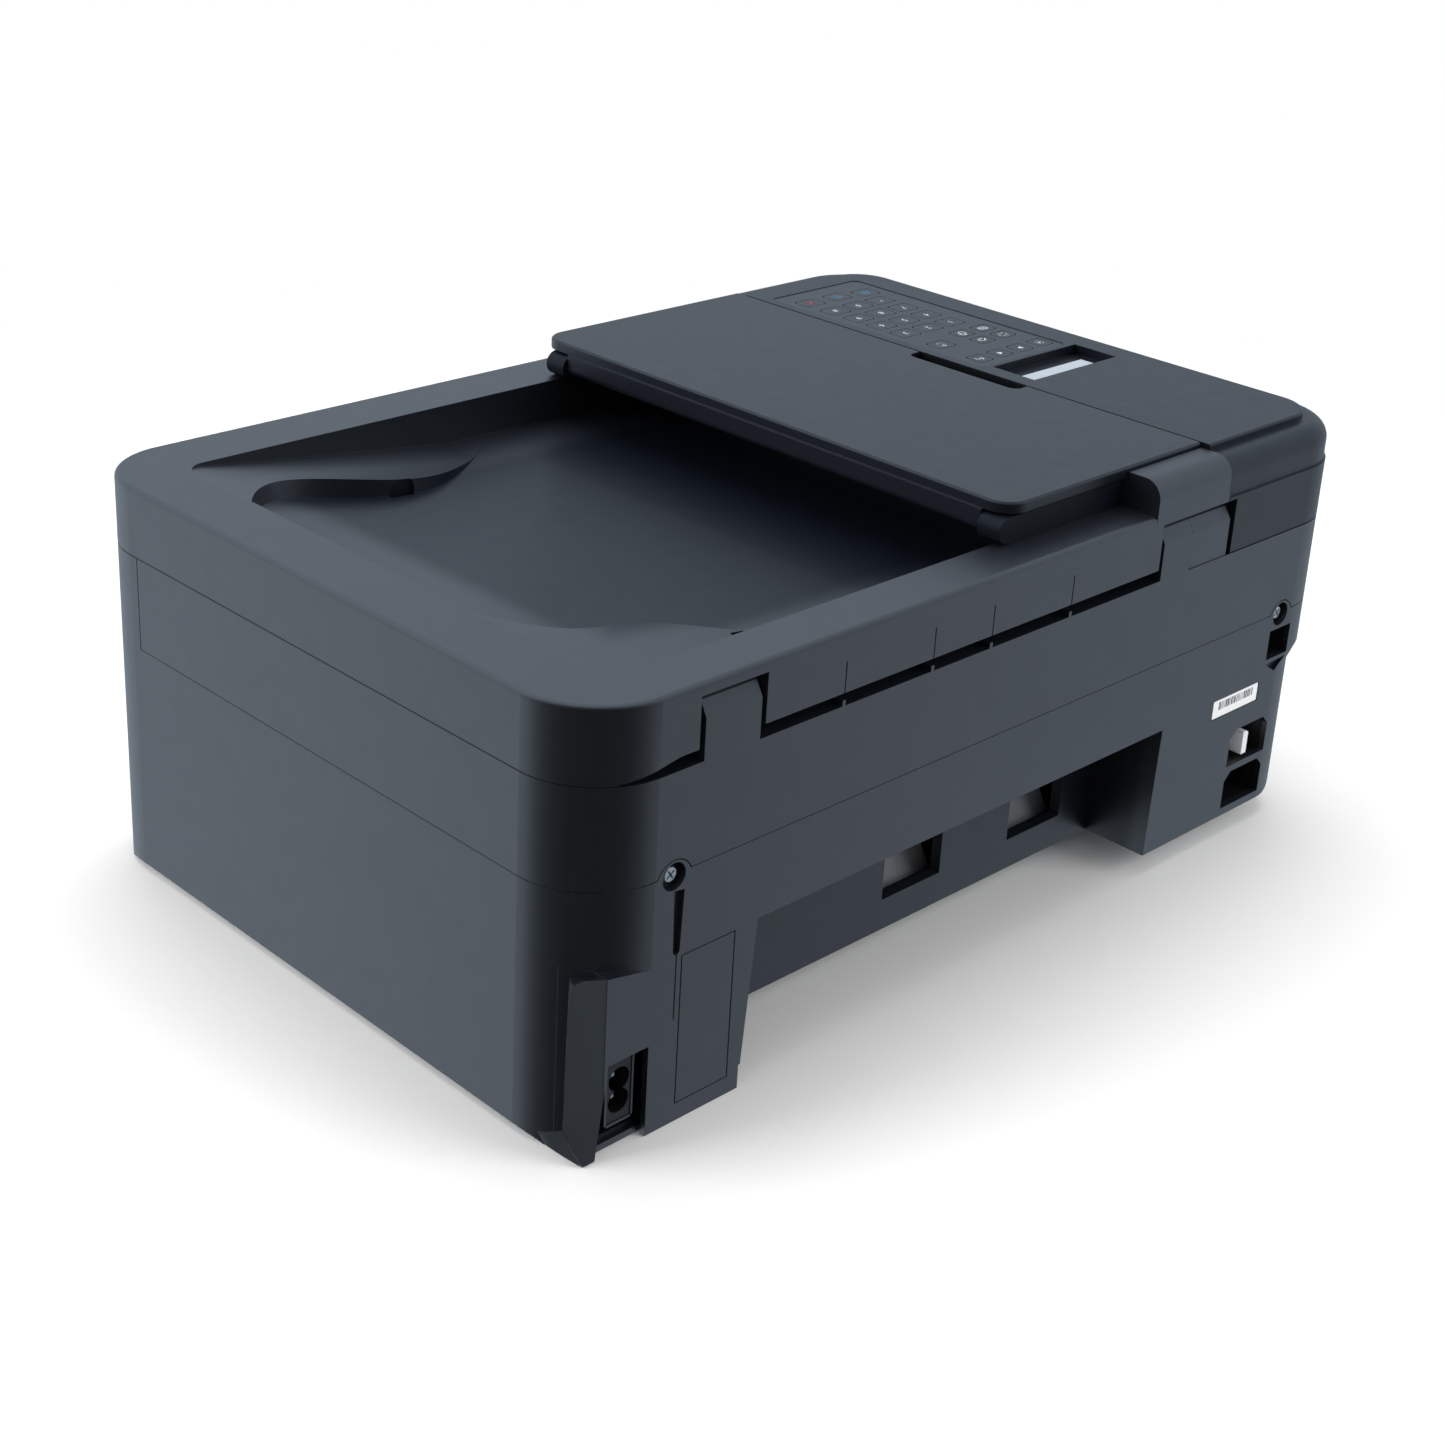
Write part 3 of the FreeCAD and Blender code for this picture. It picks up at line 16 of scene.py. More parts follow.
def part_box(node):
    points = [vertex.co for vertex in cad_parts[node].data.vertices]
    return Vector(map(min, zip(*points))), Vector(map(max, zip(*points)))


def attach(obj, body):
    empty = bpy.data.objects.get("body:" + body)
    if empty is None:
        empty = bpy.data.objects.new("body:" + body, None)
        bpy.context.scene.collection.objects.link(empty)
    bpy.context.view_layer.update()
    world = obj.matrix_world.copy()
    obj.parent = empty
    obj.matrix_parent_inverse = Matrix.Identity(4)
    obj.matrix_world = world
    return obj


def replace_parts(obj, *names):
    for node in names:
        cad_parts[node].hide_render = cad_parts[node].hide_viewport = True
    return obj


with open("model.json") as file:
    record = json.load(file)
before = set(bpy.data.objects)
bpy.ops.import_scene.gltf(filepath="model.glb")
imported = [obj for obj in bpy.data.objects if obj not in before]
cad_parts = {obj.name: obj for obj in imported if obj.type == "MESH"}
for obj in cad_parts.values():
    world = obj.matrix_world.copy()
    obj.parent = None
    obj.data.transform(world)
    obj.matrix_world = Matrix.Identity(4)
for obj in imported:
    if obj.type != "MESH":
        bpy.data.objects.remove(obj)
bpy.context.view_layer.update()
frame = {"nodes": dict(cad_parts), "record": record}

MM = 0.001
BEVEL_SAMPLES = 4
LOG = logging.getLogger("printer_looks")

Point2 = tuple[float, float]
Point3 = tuple[float, float, float]
Colour = tuple[float, float, float]
Socket = bpy.types.NodeSocket
EditMesh = bmesh.types.BMesh
Row = Sequence[bmesh.types.BMVert]
Item = bpy.types.Object


class Face(Enum):
    """Flat sides of the printer that carry details."""

    TOP = "top"
    REAR = "rear"


class Nodes:
    """Shader nodes of one material or of the world."""

    def __init__(self, tree: bpy.types.NodeTree, place: str) -> None:
        """Keeps the node tree.

        Args:
            tree: Tree that takes the nodes.
            place: Texture coordinate that the nodes go by.
        """
        self.tree = tree
        self.place = self.add("ShaderNodeTexCoord").outputs[place]

    def add(self, kind: str, **settings: object) -> bpy.types.Node:
        """Adds one node.

        Args:
            kind: Blender's node type name.
            settings: Node properties to set.

        Returns:
            The new node.
        """
        node = self.tree.nodes.new(kind)
        for key, value in settings.items():
            setattr(node, key, value)
        return node

    def feed(self, target: Socket, value: Socket | float | Sequence[float]) -> None:
        """Links a socket to an input, or sets the input to a constant."""
        if isinstance(value, Socket):
            self.tree.links.new(value, target)
        else:
            target.default_value = value

    def math(self, kind: str, first: Socket | float, second: Socket) -> Socket:
        """Returns two values joined by one operation."""
        node = self.add("ShaderNodeMath", operation=kind)
        self.feed(node.inputs[0], first)
        self.feed(node.inputs[1], second)
        return node.outputs[0]

    def vector(self, kind: str, *values: Socket | Point3) -> bpy.types.Node:
        """Returns a node that does one operation on vectors."""
        node = self.add("ShaderNodeVectorMath", operation=kind)
        for target, value in zip(node.inputs, values):
            self.feed(target, value)
        return node

    def ramp(self, value: Socket, ends: Point2, levels: Point2, shape: str = "SMOOTHSTEP") -> Socket:
        """Runs a level between two ends of a value.

        Args:
            value: Value that the level follows.
            ends: Values at which the level starts and ends.
            levels: Levels there.
            shape: Blender's name of the curve between them.

        Returns:
            The level's socket.
        """
        node = self.add("ShaderNodeMapRange", interpolation_type=shape)
        node.inputs["From Min"].default_value, node.inputs["From Max"].default_value = ends
        node.inputs["To Min"].default_value, node.inputs["To Max"].default_value = levels
        self.feed(node.inputs["Value"], value)
        return node.outputs["Result"]

    def mix(self, factor: Socket, first: Socket | float, second: Socket | float) -> Socket:
        """Returns a mix of two levels, which are inputs 2 and 3 of Blender's Mix node."""
        node = self.add("ShaderNodeMix")
        for index, value in ((0, factor), (2, first), (3, second)):
            self.feed(node.inputs[index], value)
        return node.outputs[0]

    def mix_colours(self, factor: Socket, first: Colour, second: Colour) -> Socket:
        """Returns a mix of two colours, which are inputs 6 and 7 of Blender's Mix node."""
        node = self.add("ShaderNodeMix", data_type="RGBA")
        for index, value in ((0, factor), (6, (*first, 1.0)), (7, (*second, 1.0))):
            self.feed(node.inputs[index], value)
        return node.outputs[2]


class Skin(Nodes):
    """Nodes of one material with a Principled shader."""

    def __init__(self, name: str) -> None:
        """Starts a material of a given name."""
        self.material = bpy.data.materials.new(name)
        self.material.use_nodes = True
        super().__init__(self.material.node_tree, "Object")
        self.shader = self.tree.nodes["Principled BSDF"]

    def dial(self, name: str, value: Socket | float) -> None:
        """Links or sets one input of the shader."""
        self.feed(self.shader.inputs[name], value)

    def noise(self, size_mm: float, detail: float = 2.0, stretch: Point3 = (1.0, 1.0, 1.0)) -> Socket:
        """Cloudy noise whose blobs have a given size.

        Args:
            size_mm: Size of one blob in millimetres.
            detail: Number of finer layers.
            stretch: Scale of the noise along each axis.

        Returns:
            The noise value's socket.
        """
        mapping = self.add("ShaderNodeMapping")
        mapping.inputs["Scale"].default_value = stretch
        self.feed(mapping.inputs["Vector"], self.place)
        noise = self.add("ShaderNodeTexNoise")
        noise.inputs["Scale"].default_value = 1.0 / (size_mm * MM)
        noise.inputs["Detail"].default_value = detail
        self.feed(noise.inputs["Vector"], mapping.outputs["Vector"])
        return noise.outputs["Fac"]

    def tones(self, factor: Socket, colour: Colour, shares: Point2) -> None:
        """Lets the base colour drift between two shares of a colour."""
        first, second = (tuple(min(1.0, c * share) for c in colour) for share in shares)
        self.dial("Base Color", self.mix_colours(factor, first, second))

    def roughness(self, factor: Socket, levels: Point2) -> None:
        """Varies the roughness between two levels."""
        self.dial("Roughness", self.ramp(factor, (0.0, 1.0), levels, "LINEAR"))

    def relief(self, height: Socket, strength: float, depth_mm: float, edge_mm: float) -> None:
        """Adds fine surface relief over softened edges.

        Args:
            height: Socket of the relief's height.
            strength: Share of the relief that shows.
            depth_mm: Depth of the relief in millimetres.
            edge_mm: Radius by which sharp edges look rounded.
        """
        bump = self.add("ShaderNodeBump")
        bump.inputs["Strength"].default_value = strength
        bump.inputs["Distance"].default_value = depth_mm * MM
        self.feed(bump.inputs["Height"], height)
        soft = self.add("ShaderNodeBevel", samples=BEVEL_SAMPLES)
        soft.inputs["Radius"].default_value = edge_mm * MM
        self.feed(bump.inputs["Normal"], soft.outputs["Normal"])
        self.dial("Normal", bump.outputs["Normal"])


@dataclass(frozen=True)
class Finish:
    """Look that a piece can have."""

    name: str

    def dress(self, skin: Skin) -> None:
        """Sets the nodes of the finish."""
        raise NotImplementedError

    def material(self) -> bpy.types.Material:
        """Builds the node material."""
        skin = Skin(self.name)
        self.dress(skin)
        return skin.material


@dataclass(frozen=True)
class Moulded(Finish):
    """Moulded plastic or rubber with a spark-eroded grain.

    Attributes:
        tone: Share by which the colour drifts across the piece.
        tone_noise: Size in millimetres and detail of that drift.
        rough_noise: Size in millimetres and detail of the roughness patches.
    """

    colour: Colour
    rough: Point2
    grain_mm: float = 0.45
    grain_depth_mm: float = 0.02
    grain_share: float = 0.5
    tone: float = 0.06
    tone_noise: Point2 = (70.0, 3.0)
    rough_noise: Point2 = (9.0, 4.0)
    edge_mm: float = 0.5
    gloss: float = 0.5
    ior: float = 1.5

    def dress(self, skin: Skin) -> None:
        """Sets the nodes of the finish."""
        skin.tones(skin.noise(*self.tone_noise), self.colour, (1.0 - self.tone, 1.0 + self.tone))
        skin.roughness(skin.noise(*self.rough_noise), self.rough)
        skin.relief(skin.noise(self.grain_mm, 1.0), self.grain_share, self.grain_depth_mm, self.edge_mm)
        skin.dial("Specular IOR Level", self.gloss)
        skin.dial("IOR", self.ior)


@dataclass(frozen=True)
class ShadedHollow(Moulded):
    """Moulded plastic with painted shade inside a hollow: its gloss is lower there, which darkens it."""

    hollow_middle_mm: Point2 = (0.0, 0.0)
    hollow_half_mm: Point2 = (100.0, 100.0)
    hollow_shade_gloss: float = 0.3
    blur: float = 0.09

    def dress(self, skin: Skin) -> None:
        """Sets the nodes of the finish."""
        super().dress(skin)
        middle = (*(v * MM for v in self.hollow_middle_mm), 0.0)
        half = (*(v * MM for v in self.hollow_half_mm), 1.0)
        offset = skin.vector("SUBTRACT", skin.place, middle).outputs[0]
        share = skin.vector("ABSOLUTE", skin.vector("DIVIDE", offset, half).outputs[0]).outputs[0]
        axes = skin.add("ShaderNodeSeparateXYZ")
        skin.feed(axes.inputs[0], share)
        reach = skin.math("MAXIMUM", axes.outputs["X"], axes.outputs["Y"])
        # Painted shade: inside the box about the hollow the gloss drops, which darkens the surface there.
        level = skin.ramp(reach, (1.0 - self.blur, 1.0 + self.blur), (self.hollow_shade_gloss, self.gloss))
        skin.dial("Specular IOR Level", level)


@dataclass(frozen=True)
class Plated(Finish):
    """Bare or plated metal with fine drawing lines along X."""

    colour: Colour
    rough: Point2
    line_mm: float = 0.25
    line_stretch: Point3 = (0.04, 1.0, 1.0)
    tones: Point2 = (0.9, 1.06)
    relief_share: float = 0.25
    relief_mm: float = 0.01
    edge_mm: float = 0.25

    def dress(self, skin: Skin) -> None:
        """Sets the nodes of the finish."""
        skin.dial("Metallic", 1.0)
        lines = skin.noise(self.line_mm, stretch=self.line_stretch)
        skin.tones(lines, self.colour, self.tones)
        skin.roughness(lines, self.rough)
        skin.relief(lines, self.relief_share, self.relief_mm, self.edge_mm)


@dataclass(frozen=True)
class Glazed(Finish):
    """Clear glass of the scanner bed, with a faint green tint and a few dust specks."""

    tint: Colour
    clear: float = 0.92
    ior: float = 1.5
    tones: Point2 = (1.0, 1.05)
    tone_mm: float = 120.0
    dust_noise: Point2 = (2.0, 5.0)
    rough: Point2 = (0.01, 0.06)

    def dress(self, skin: Skin) -> None:
        """Sets the nodes of the finish."""
        skin.dial("Transmission Weight", self.clear)
        skin.dial("IOR", self.ior)
        skin.tones(skin.noise(self.tone_mm), self.tint, self.tones)
        skin.roughness(skin.noise(*self.dust_noise), self.rough)


@dataclass(frozen=True)
class BoardResist(Finish):
    """Green circuit board with a fine lattice of copper traces under the resist."""

    colour: Colour
    trace: Colour
    cell_mm: float = 6.0
    trace_share: float = 0.08
    rough: Point2 = (0.25, 0.4)
    rough_mm: float = 3.0

    def dress(self, skin: Skin) -> None:
        """Sets the nodes of the finish."""
        cells = skin.add("ShaderNodeTexVoronoi", distance="MANHATTAN", feature="DISTANCE_TO_EDGE")
        cells.inputs["Scale"].default_value = 1.0 / (self.cell_mm * MM)
        skin.feed(cells.inputs["Vector"], skin.place)
        resist = skin.ramp(cells.outputs["Distance"], (0.0, self.trace_share), (0.0, 1.0), "LINEAR")
        skin.dial("Base Color", skin.mix_colours(resist, self.trace, self.colour))
        skin.roughness(skin.noise(self.rough_mm), self.rough)


@dataclass(frozen=True)
class DisplayFace(Finish):
    """Pale passive display behind its window, with a faint dot lattice."""

    colour: Colour
    dot_mm: float = 0.6
    gap: float = 0.03
    tones: Point2 = (1.0, 0.9)
    rough: Point2 = (0.12, 0.2)
    rough_mm: float = 20.0
    coat: float = 0.6

    def dress(self, skin: Skin) -> None:
        """Sets the nodes of the finish."""
        lattice = skin.add("ShaderNodeTexBrick", offset=0.0)
        lattice.inputs["Scale"].default_value = 1.0 / (self.dot_mm * 2.0 * MM)
        lattice.inputs["Mortar Size"].default_value = self.gap
        for side in ("Brick Width", "Row Height"):
            lattice.inputs[side].default_value = 0.5
        skin.feed(lattice.inputs["Vector"], skin.place)
        skin.tones(lattice.outputs["Fac"], self.colour, self.tones)
        skin.roughness(skin.noise(self.rough_mm), self.rough)
        skin.dial("Coat Weight", self.coat)


@dataclass(frozen=True)
class PrintInk(Finish):
    """Screen-printed ink, slightly uneven in tone; it also dresses the dark sheets of painted shadow."""

    colour: Colour
    tones: Point2 = (0.9, 1.08)
    tone_noise: Point2 = (0.8, 3.0)
    rough: Point2 = (0.45, 0.6)
    rough_mm: float = 1.5

    def dress(self, skin: Skin) -> None:
        """Sets the nodes of the finish."""
        skin.tones(skin.noise(*self.tone_noise), self.colour, self.tones)
        skin.roughness(skin.noise(self.rough_mm), self.rough)


CHARCOAL: Colour = (0.0036, 0.0052, 0.0095)
CASE_LOOK = {"colour": CHARCOAL, "rough": (0.37, 0.44), "edge_mm": 0.2, "gloss": 1.0, "ior": 1.68}
CASE = Moulded("charcoal_case", **CASE_LOOK)
FINISHES: dict[str, Finish] = {
    "charcoal_case": CASE,
    "black_plastic": Moulded("black_plastic", (0.012, 0.013, 0.016), (0.42, 0.5)),
    "socket_black": Moulded("socket_black", (0.006, 0.006, 0.007), (0.35, 0.45), edge_mm=0.25),
    "clear_glass": Glazed("clear_glass", (0.86, 0.93, 0.90)),
    "foot_rubber": Moulded("foot_rubber", (0.02, 0.02, 0.021), (0.7, 0.85), gloss=0.3),
    "bright_steel": Plated("bright_steel", (0.62, 0.63, 0.65), (0.22, 0.34)),
    "motor_steel": Plated("motor_steel", (0.36, 0.37, 0.39), (0.3, 0.42)),
    "white_plug": Moulded("white_plug", (0.74, 0.76, 0.80), (0.35, 0.45), edge_mm=0.4),
    "circuit_board": BoardResist("circuit_board", (0.012, 0.09, 0.035), (0.05, 0.2, 0.07)),
    "roller_rubber": Moulded("roller_rubber", (0.03, 0.03, 0.032), (0.65, 0.8), grain_mm=0.8, gloss=0.3),
    "gear_white": Moulded("gear_white", (0.62, 0.61, 0.55), (0.4, 0.5), edge_mm=0.15),
    "belt_rubber": Moulded("belt_rubber", (0.01, 0.01, 0.01), (0.7, 0.8)),
    "cartridge_black": Moulded("cartridge_black", (0.015, 0.015, 0.017), (0.3, 0.4)),
    "white_foam": Moulded(
        "white_foam", (0.78, 0.78, 0.76), (0.85, 0.95), grain_mm=1.2, grain_depth_mm=0.1, gloss=0.2
    ),
    "panel_film": Moulded("panel_film", CHARCOAL, (0.36, 0.42), grain_mm=0.3, gloss=0.9),
    "display_glass": DisplayFace("display_glass", (0.42, 0.47, 0.52)),
    "key_plastic": Moulded("key_plastic", CHARCOAL, (0.36, 0.42), grain_mm=0.3, edge_mm=0.3, gloss=0.9),
}
NODE_FINISHES: dict[str, Finish] = {
    # Painted shade: the lower case is less glossy about its rear recess, which darkens the recess.
    "lower_case": ShadedHollow(
        "charcoal_recess_painted_shade",
        **CASE_LOOK,
        hollow_middle_mm=(0.0, 100.0),
        hollow_half_mm=(190.0, 40.0),
        hollow_shade_gloss=0.55,
    ),
    # Painted shade: the scanner cover is less glossy in its dish, which darkens the dish.
    "lid_shell": ShadedHollow(
        "charcoal_dish_painted_shade", **CASE_LOOK, hollow_middle_mm=(60.0, 2.0), hollow_half_mm=(101.0, 94.0)
    ),
    "document_tray": Moulded("charcoal_tray", CHARCOAL, (0.38, 0.45), gloss=0.85),
    # Painted shade: a less glossy copy of the charcoal, which darkens the key panel, its side most of all.
    "control_panel": Moulded("charcoal_panel_painted_shade", CHARCOAL, (0.38, 0.45), gloss=0.72),
    # Painted shade: a duller, less glossy copy of the charcoal for the feeder under the tray.
    "feeder_base": Moulded("charcoal_feeder_painted_shade", CHARCOAL, (0.5, 0.58), gloss=0.35),
}
INK_WHITE = PrintInk("ink_white", (0.62, 0.65, 0.69))
INK_RED = PrintInk("ink_red", (0.34, 0.05, 0.07))
INK_BLUE = PrintInk("ink_blue", (0.05, 0.20, 0.34))
LABEL_PAPER = PrintInk("label_paper", (0.80, 0.81, 0.83))
LABEL_BLACK = PrintInk("label_black", (0.02, 0.02, 0.02))
# Painted reflection: a grey lighter than the charcoal case, standing for the bright reflection on the sloping
# window plates.
WINDOW_PLATE_REFLECTION = Moulded("window_plate_painted_reflection", (0.16, 0.17, 0.185), (0.38, 0.45))
# Painted shadow: near-black finish of the sheets that stand for the shade in seams, gaps and screw recesses.
SHADOW_LINE = PrintInk("shadow_line", (0.004, 0.004, 0.005))


def stand(name: str, data: bpy.types.ID) -> Item:
    """Returns a new object of some data, linked to the scene."""
    item = bpy.data.objects.new(name, data)
    bpy.context.scene.collection.objects.link(item)
    return item


def baked(item: Item) -> bpy.types.Mesh:
    """Returns the finished mesh of a passing object, and removes the object."""
    bpy.context.view_layer.update()
    data = bpy.data.meshes.new_from_object(item.evaluated_get(bpy.context.evaluated_depsgraph_get()))
    bpy.data.objects.remove(item)
    return data


def mesh_data(name: str, mesh: EditMesh) -> bpy.types.Mesh:
    """Returns mesh data made of an edit mesh, which it frees."""
    data = bpy.data.meshes.new(name)
    mesh.to_mesh(data)
    mesh.free()
    return data


class Workshop:
    """Dresses meshes and puts them on the printer."""

    def __init__(self) -> None:
        """Starts without materials."""
        self.materials: dict[str, bpy.types.Material] = {}

    def finish(self, finish: Finish) -> bpy.types.Material:
        """Returns the material of a finish, made on first use."""
        if finish.name not in self.materials:
            self.materials[finish.name] = finish.material()
        return self.materials[finish.name]

    def piece(self, name: str, mesh: EditMesh, finish: Finish, body: str, slot: str) -> Item:
        """Makes an object of a mesh, dresses it and lets it ride on a body.

        Args:
            name: Piece name.
            mesh: Mesh in metres, in the printer's frame.
            finish: Finish that dresses it.
            body: CAD body that carries it.
            slot: Material slot of the record; not used.

        Returns:
            The new object.
        """
        bmesh.ops.recalc_face_normals(mesh, faces=mesh.faces)
        return self.place(name, mesh_data(name, mesh), finish, body, slot)

    def place(self, name: str, data: bpy.types.Mesh, finish: Finish, body: str, slot: str) -> Item:
        """Puts ready mesh data on a body, dressed in a finish."""
        data.materials.clear()
        data.materials.append(self.finish(finish))
        piece = stand(name, data)
        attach(piece, body)
        LOG.info("piece %s on %s", name, body)
        return piece


@dataclass(frozen=True)
class Plane:
    """A flat place on the printer: maps flat millimetres and a height to the frame.

    Attributes:
        level_mm: Place of the flat along its normal.
        origin_mm: Flat coordinates' origin on that side.
    """

    face: Face
    level_mm: float
    origin_mm: Point2 = (0.0, 0.0)

    def point(self, u: float, v: float, height: float) -> Vector:
        """Returns the frame point of flat coordinates and a height, all in millimetres."""
        a, b = self.origin_mm
        level = self.level_mm + height
        if self.face is Face.TOP:
            return Vector((a + u, b + v, level)) * MM
        return Vector((a - u, level, b + v)) * MM


PLAN = Plane(Face.TOP, 0.0)


def join(mesh: EditMesh, low: Row, high: Row) -> None:
    """Adds the faces between two closed rows with as many points each."""
    for k in range(len(low)):
        n = (k + 1) % len(low)
        mesh.faces.new((low[k], low[n], high[n], high[k]))


def solid(mesh: EditMesh, rings: Sequence[Sequence[Vector]]) -> None:
    """Adds a closed solid through rings of points in metres, from its lower to its upper end."""
    rows = [[mesh.verts.new(point) for point in ring] for ring in rings]
    for low, high in zip(rows, rows[1:]):
        join(mesh, low, high)
    mesh.faces.new(list(reversed(rows[0])))
    mesh.faces.new(rows[-1])


def slab(mesh: EditMesh, plane: Plane, outline: Sequence[Point2], low: float, high: float) -> None:
    """Adds a thin slab with a given outline.

    Args:
        mesh: Mesh that takes the slab.
        plane: Flat place that carries it.
        outline: Corner points in flat millimetres, in order.
        low: Height of its underside above the flat.
        high: Height of its upper side.
    """
    solid(mesh, [[plane.point(u, v, height) for u, v in outline] for height in (low, high)])


def oblong(u0: float, u1: float, v0: float, v1: float) -> list[Point2]:
    """Returns a rectangle outline."""
    return [(u0, v0), (u1, v0), (u1, v1), (u0, v1)]


def arc(radius: float, start: float = 0.0, end: float = 360.0, count: int = 20) -> list[Point2]:
    """Returns points along an arc about the origin, with its ends in degrees."""
    turns = (math.radians(start + (end - start) * k / count) for k in range(count + 1))
    return [(radius * math.cos(turn), radius * math.sin(turn)) for turn in turns]


def disc(u: float, v: float, radius: float, count: int) -> list[Point2]:
    """Returns a round outline about a centre."""
    return [(u + du, v + dv) for du, dv in arc(radius, count=count)[:-1]]


def rounded(u0: float, u1: float, v0: float, v1: float, radius: float, count: int = 4) -> list[Point2]:
    """Returns a rectangle outline with rounded corners."""
    points: list[Point2] = []
    left, right, low, high = u0 + radius, u1 - radius, v0 + radius, v1 - radius
    for quarter, (cu, cv) in enumerate(((right, high), (left, high), (left, low), (right, low))):
        bend = arc(radius, 90.0 * quarter, 90.0 * (quarter + 1), count)
        points += [(cu + du, cv + dv) for du, dv in bend]
    return points


def stroke(points: Sequence[Point2], width: float, closed: bool = False) -> list[list[Point2]]:
    """Returns one four-cornered outline for each stretch of a drawn line.

    Args:
        points: Line points in flat millimetres.
        width: Line width.
        closed: Whether the last point joins the first.

    Returns:
        Outlines that together draw the line.
    """
    pairs = list(zip(points, points[1:]))
    if closed:
        pairs.append((points[-1], points[0]))
    quads = []
    half = width / 2.0
    for start, end in pairs:
        a, b = Vector(start), Vector(end)
        along = (b - a).normalized() * half
        across = Vector((-along.y, along.x))
        a, b = a - along, b + along
        quads.append([tuple(corner) for corner in (a + across, a - across, b - across, b + across)])
    return quads


class CadDress:
    """Gives every CAD node its finish."""

    def __init__(self, shop: Workshop) -> None:
        """Keeps the workshop that makes the finishes."""
        self.shop = shop

    def dress(self) -> None:
        """Dresses all nodes by the record's material slots."""
        for part in frame["record"]["subparts"]:
            node = frame["nodes"][part["node"]]
            node.data.materials.clear()
            finish = NODE_FINISHES.get(part["node"], FINISHES[part["material_slot"]])
            node.data.materials.append(self.shop.finish(finish))
            LOG.info("node %s in %s", part["node"], part["material_slot"])


@dataclass
class RearDetails:
    """Details of the rear: painted shadow of the screw crosses, label, mains pins, inlet rim and windows.

    Attributes:
        cross_mm: Reach and width of a bar, and its lower and upper height.
        label_tops_mm: Heights of the paper and of the bars on it.
        pin_steps_mm: Radius, lower and upper height of the steps of a rounded tip.
        rim_mm: Inset, width, lower and upper height of the rim round the inlet.
        lip_edge_mm: Outer edge of the notch's lip going up, as x and z.
        lip_tops_mm: Heights of its two steps there.
        window_y_mm: Front and back of their frames.
        plate_y_mm: Lower and upper edge of the plate behind a window, as y.
        plate_z_mm: The same edges' heights.
    """

    shop: Workshop
    screws_mm: tuple[Point2, ...] = ((-177.1, 98.2), (177.1, 98.2))
    screw_face_mm: float = 145.7
    cross_turns: Point2 = (0.6, 0.6 + math.pi / 2)
    cross_mm: tuple[float, ...] = (1.7, 0.55, -0.05, 0.03)
    label_x_mm: Point2 = (-168.0, -135.5)
    label_z_mm: Point2 = (60.5, 68.7)
    label_face_mm: float = 147.2
    label_corner_mm: float = 0.6
    label_tops_mm: Point2 = (0.1, 0.115)
    bar_margin_mm: float = 4.0
    bar_z_mm: Point2 = (3.4, 7.0)
    bar_widths_mm: tuple[float, ...] = (0.25, 0.25, 0.5, 0.75)
    bar_gaps_mm: tuple[float, ...] = (0.25, 0.4, 0.6)
    bar_seed: int = 7
    pins_mm: tuple[Point2, ...] = ((195.6, 17.6), (195.6, 26.2))
    pin_face_mm: float = 140.5
    pin_steps_mm: tuple[Point3, ...] = ((1.15, 0.02, 0.6), (0.75, 0.6, 1.0))
    pin_sides: int = 16
    rim_mm: tuple[float, ...] = (0.5, 0.9, -0.3, 0.35)
    lip_edge_mm: tuple[Point2, ...] = ((207.7, 0.4), (207.4, 3.0), (207.2, 4.2))
    lip_inner_mm: float = 185.6
    lip_floor_mm: float = -6.0
    lip_tops_mm: Point2 = (-0.4, -3.0)
    window_x_mm: Point2 = (-59.0, 17.0)
    window_half_mm: float = 17.0
    window_z_mm: Point2 = (23.0, 44.5)
    window_y_mm: Point2 = (117.45, 113.5)
    window_bevel_mm: float = 0.9
    plate_y_mm: Point2 = (107.4, 97.0)
    plate_z_mm: Point2 = (19.0, 36.0)
    plate_reach_mm: Point2 = (6.0, 2.0)
    plate_step_mm: float = 1.2

    def screw_cross_shadows(self) -> None:
        """Painted shadow of the cross recesses in the two screw heads: dark crosses laid on the heads."""
        mesh = bmesh.new()
        reach, width, low, high = self.cross_mm
        for middle in self.screws_mm:
            plane = Plane(Face.REAR, self.screw_face_mm, middle)
            for turn in self.cross_turns:
                u, v = reach * math.cos(turn), reach * math.sin(turn)
                for outline in stroke([(-u, -v), (u, v)], width):
                    slab(mesh, plane, outline, low, high)
        # The crosses are painted shadow, not recesses cut into the heads.
        self.shop.piece("screw_cross_shadows", mesh, SHADOW_LINE, "base", "bright_steel")

    def label(self) -> None:
        """Plain paper label with a row of generic bars."""
        x0, x1 = self.label_x_mm
        z0, z1 = self.label_z_mm
        paper_top, bar_top = self.label_tops_mm
        plane = Plane(Face.REAR, self.label_face_mm, (x1, z0))
        paper = bmesh.new()
        slab(paper, plane, rounded(0.0, x1 - x0, 0.0, z1 - z0, self.label_corner_mm), 0.0, paper_top)
        self.shop.piece("label_paper", paper, LABEL_PAPER, "base", "white_plug")
        bars = bmesh.new()
        chance = random.Random(self.bar_seed)
        u = self.bar_margin_mm
        while u < x1 - x0 - self.bar_margin_mm:
            width = chance.choice(self.bar_widths_mm)
            slab(bars, plane, oblong(u, u + width, *self.bar_z_mm), paper_top, bar_top)
            u += width + chance.choice(self.bar_gaps_mm)
        self.shop.piece("label_bars", bars, LABEL_BLACK, "base", "socket_black")

    def pin_tips(self) -> None:
        """Rounded bright ends of the two mains pins."""
        mesh = bmesh.new()
        for middle in self.pins_mm:
            plane = Plane(Face.REAR, self.pin_face_mm, middle)
            for radius, low, high in self.pin_steps_mm:
                slab(mesh, plane, disc(0.0, 0.0, radius, self.pin_sides), low, high)
        self.shop.piece("pin_tips", mesh, FINISHES["bright_steel"], "base", "bright_steel")

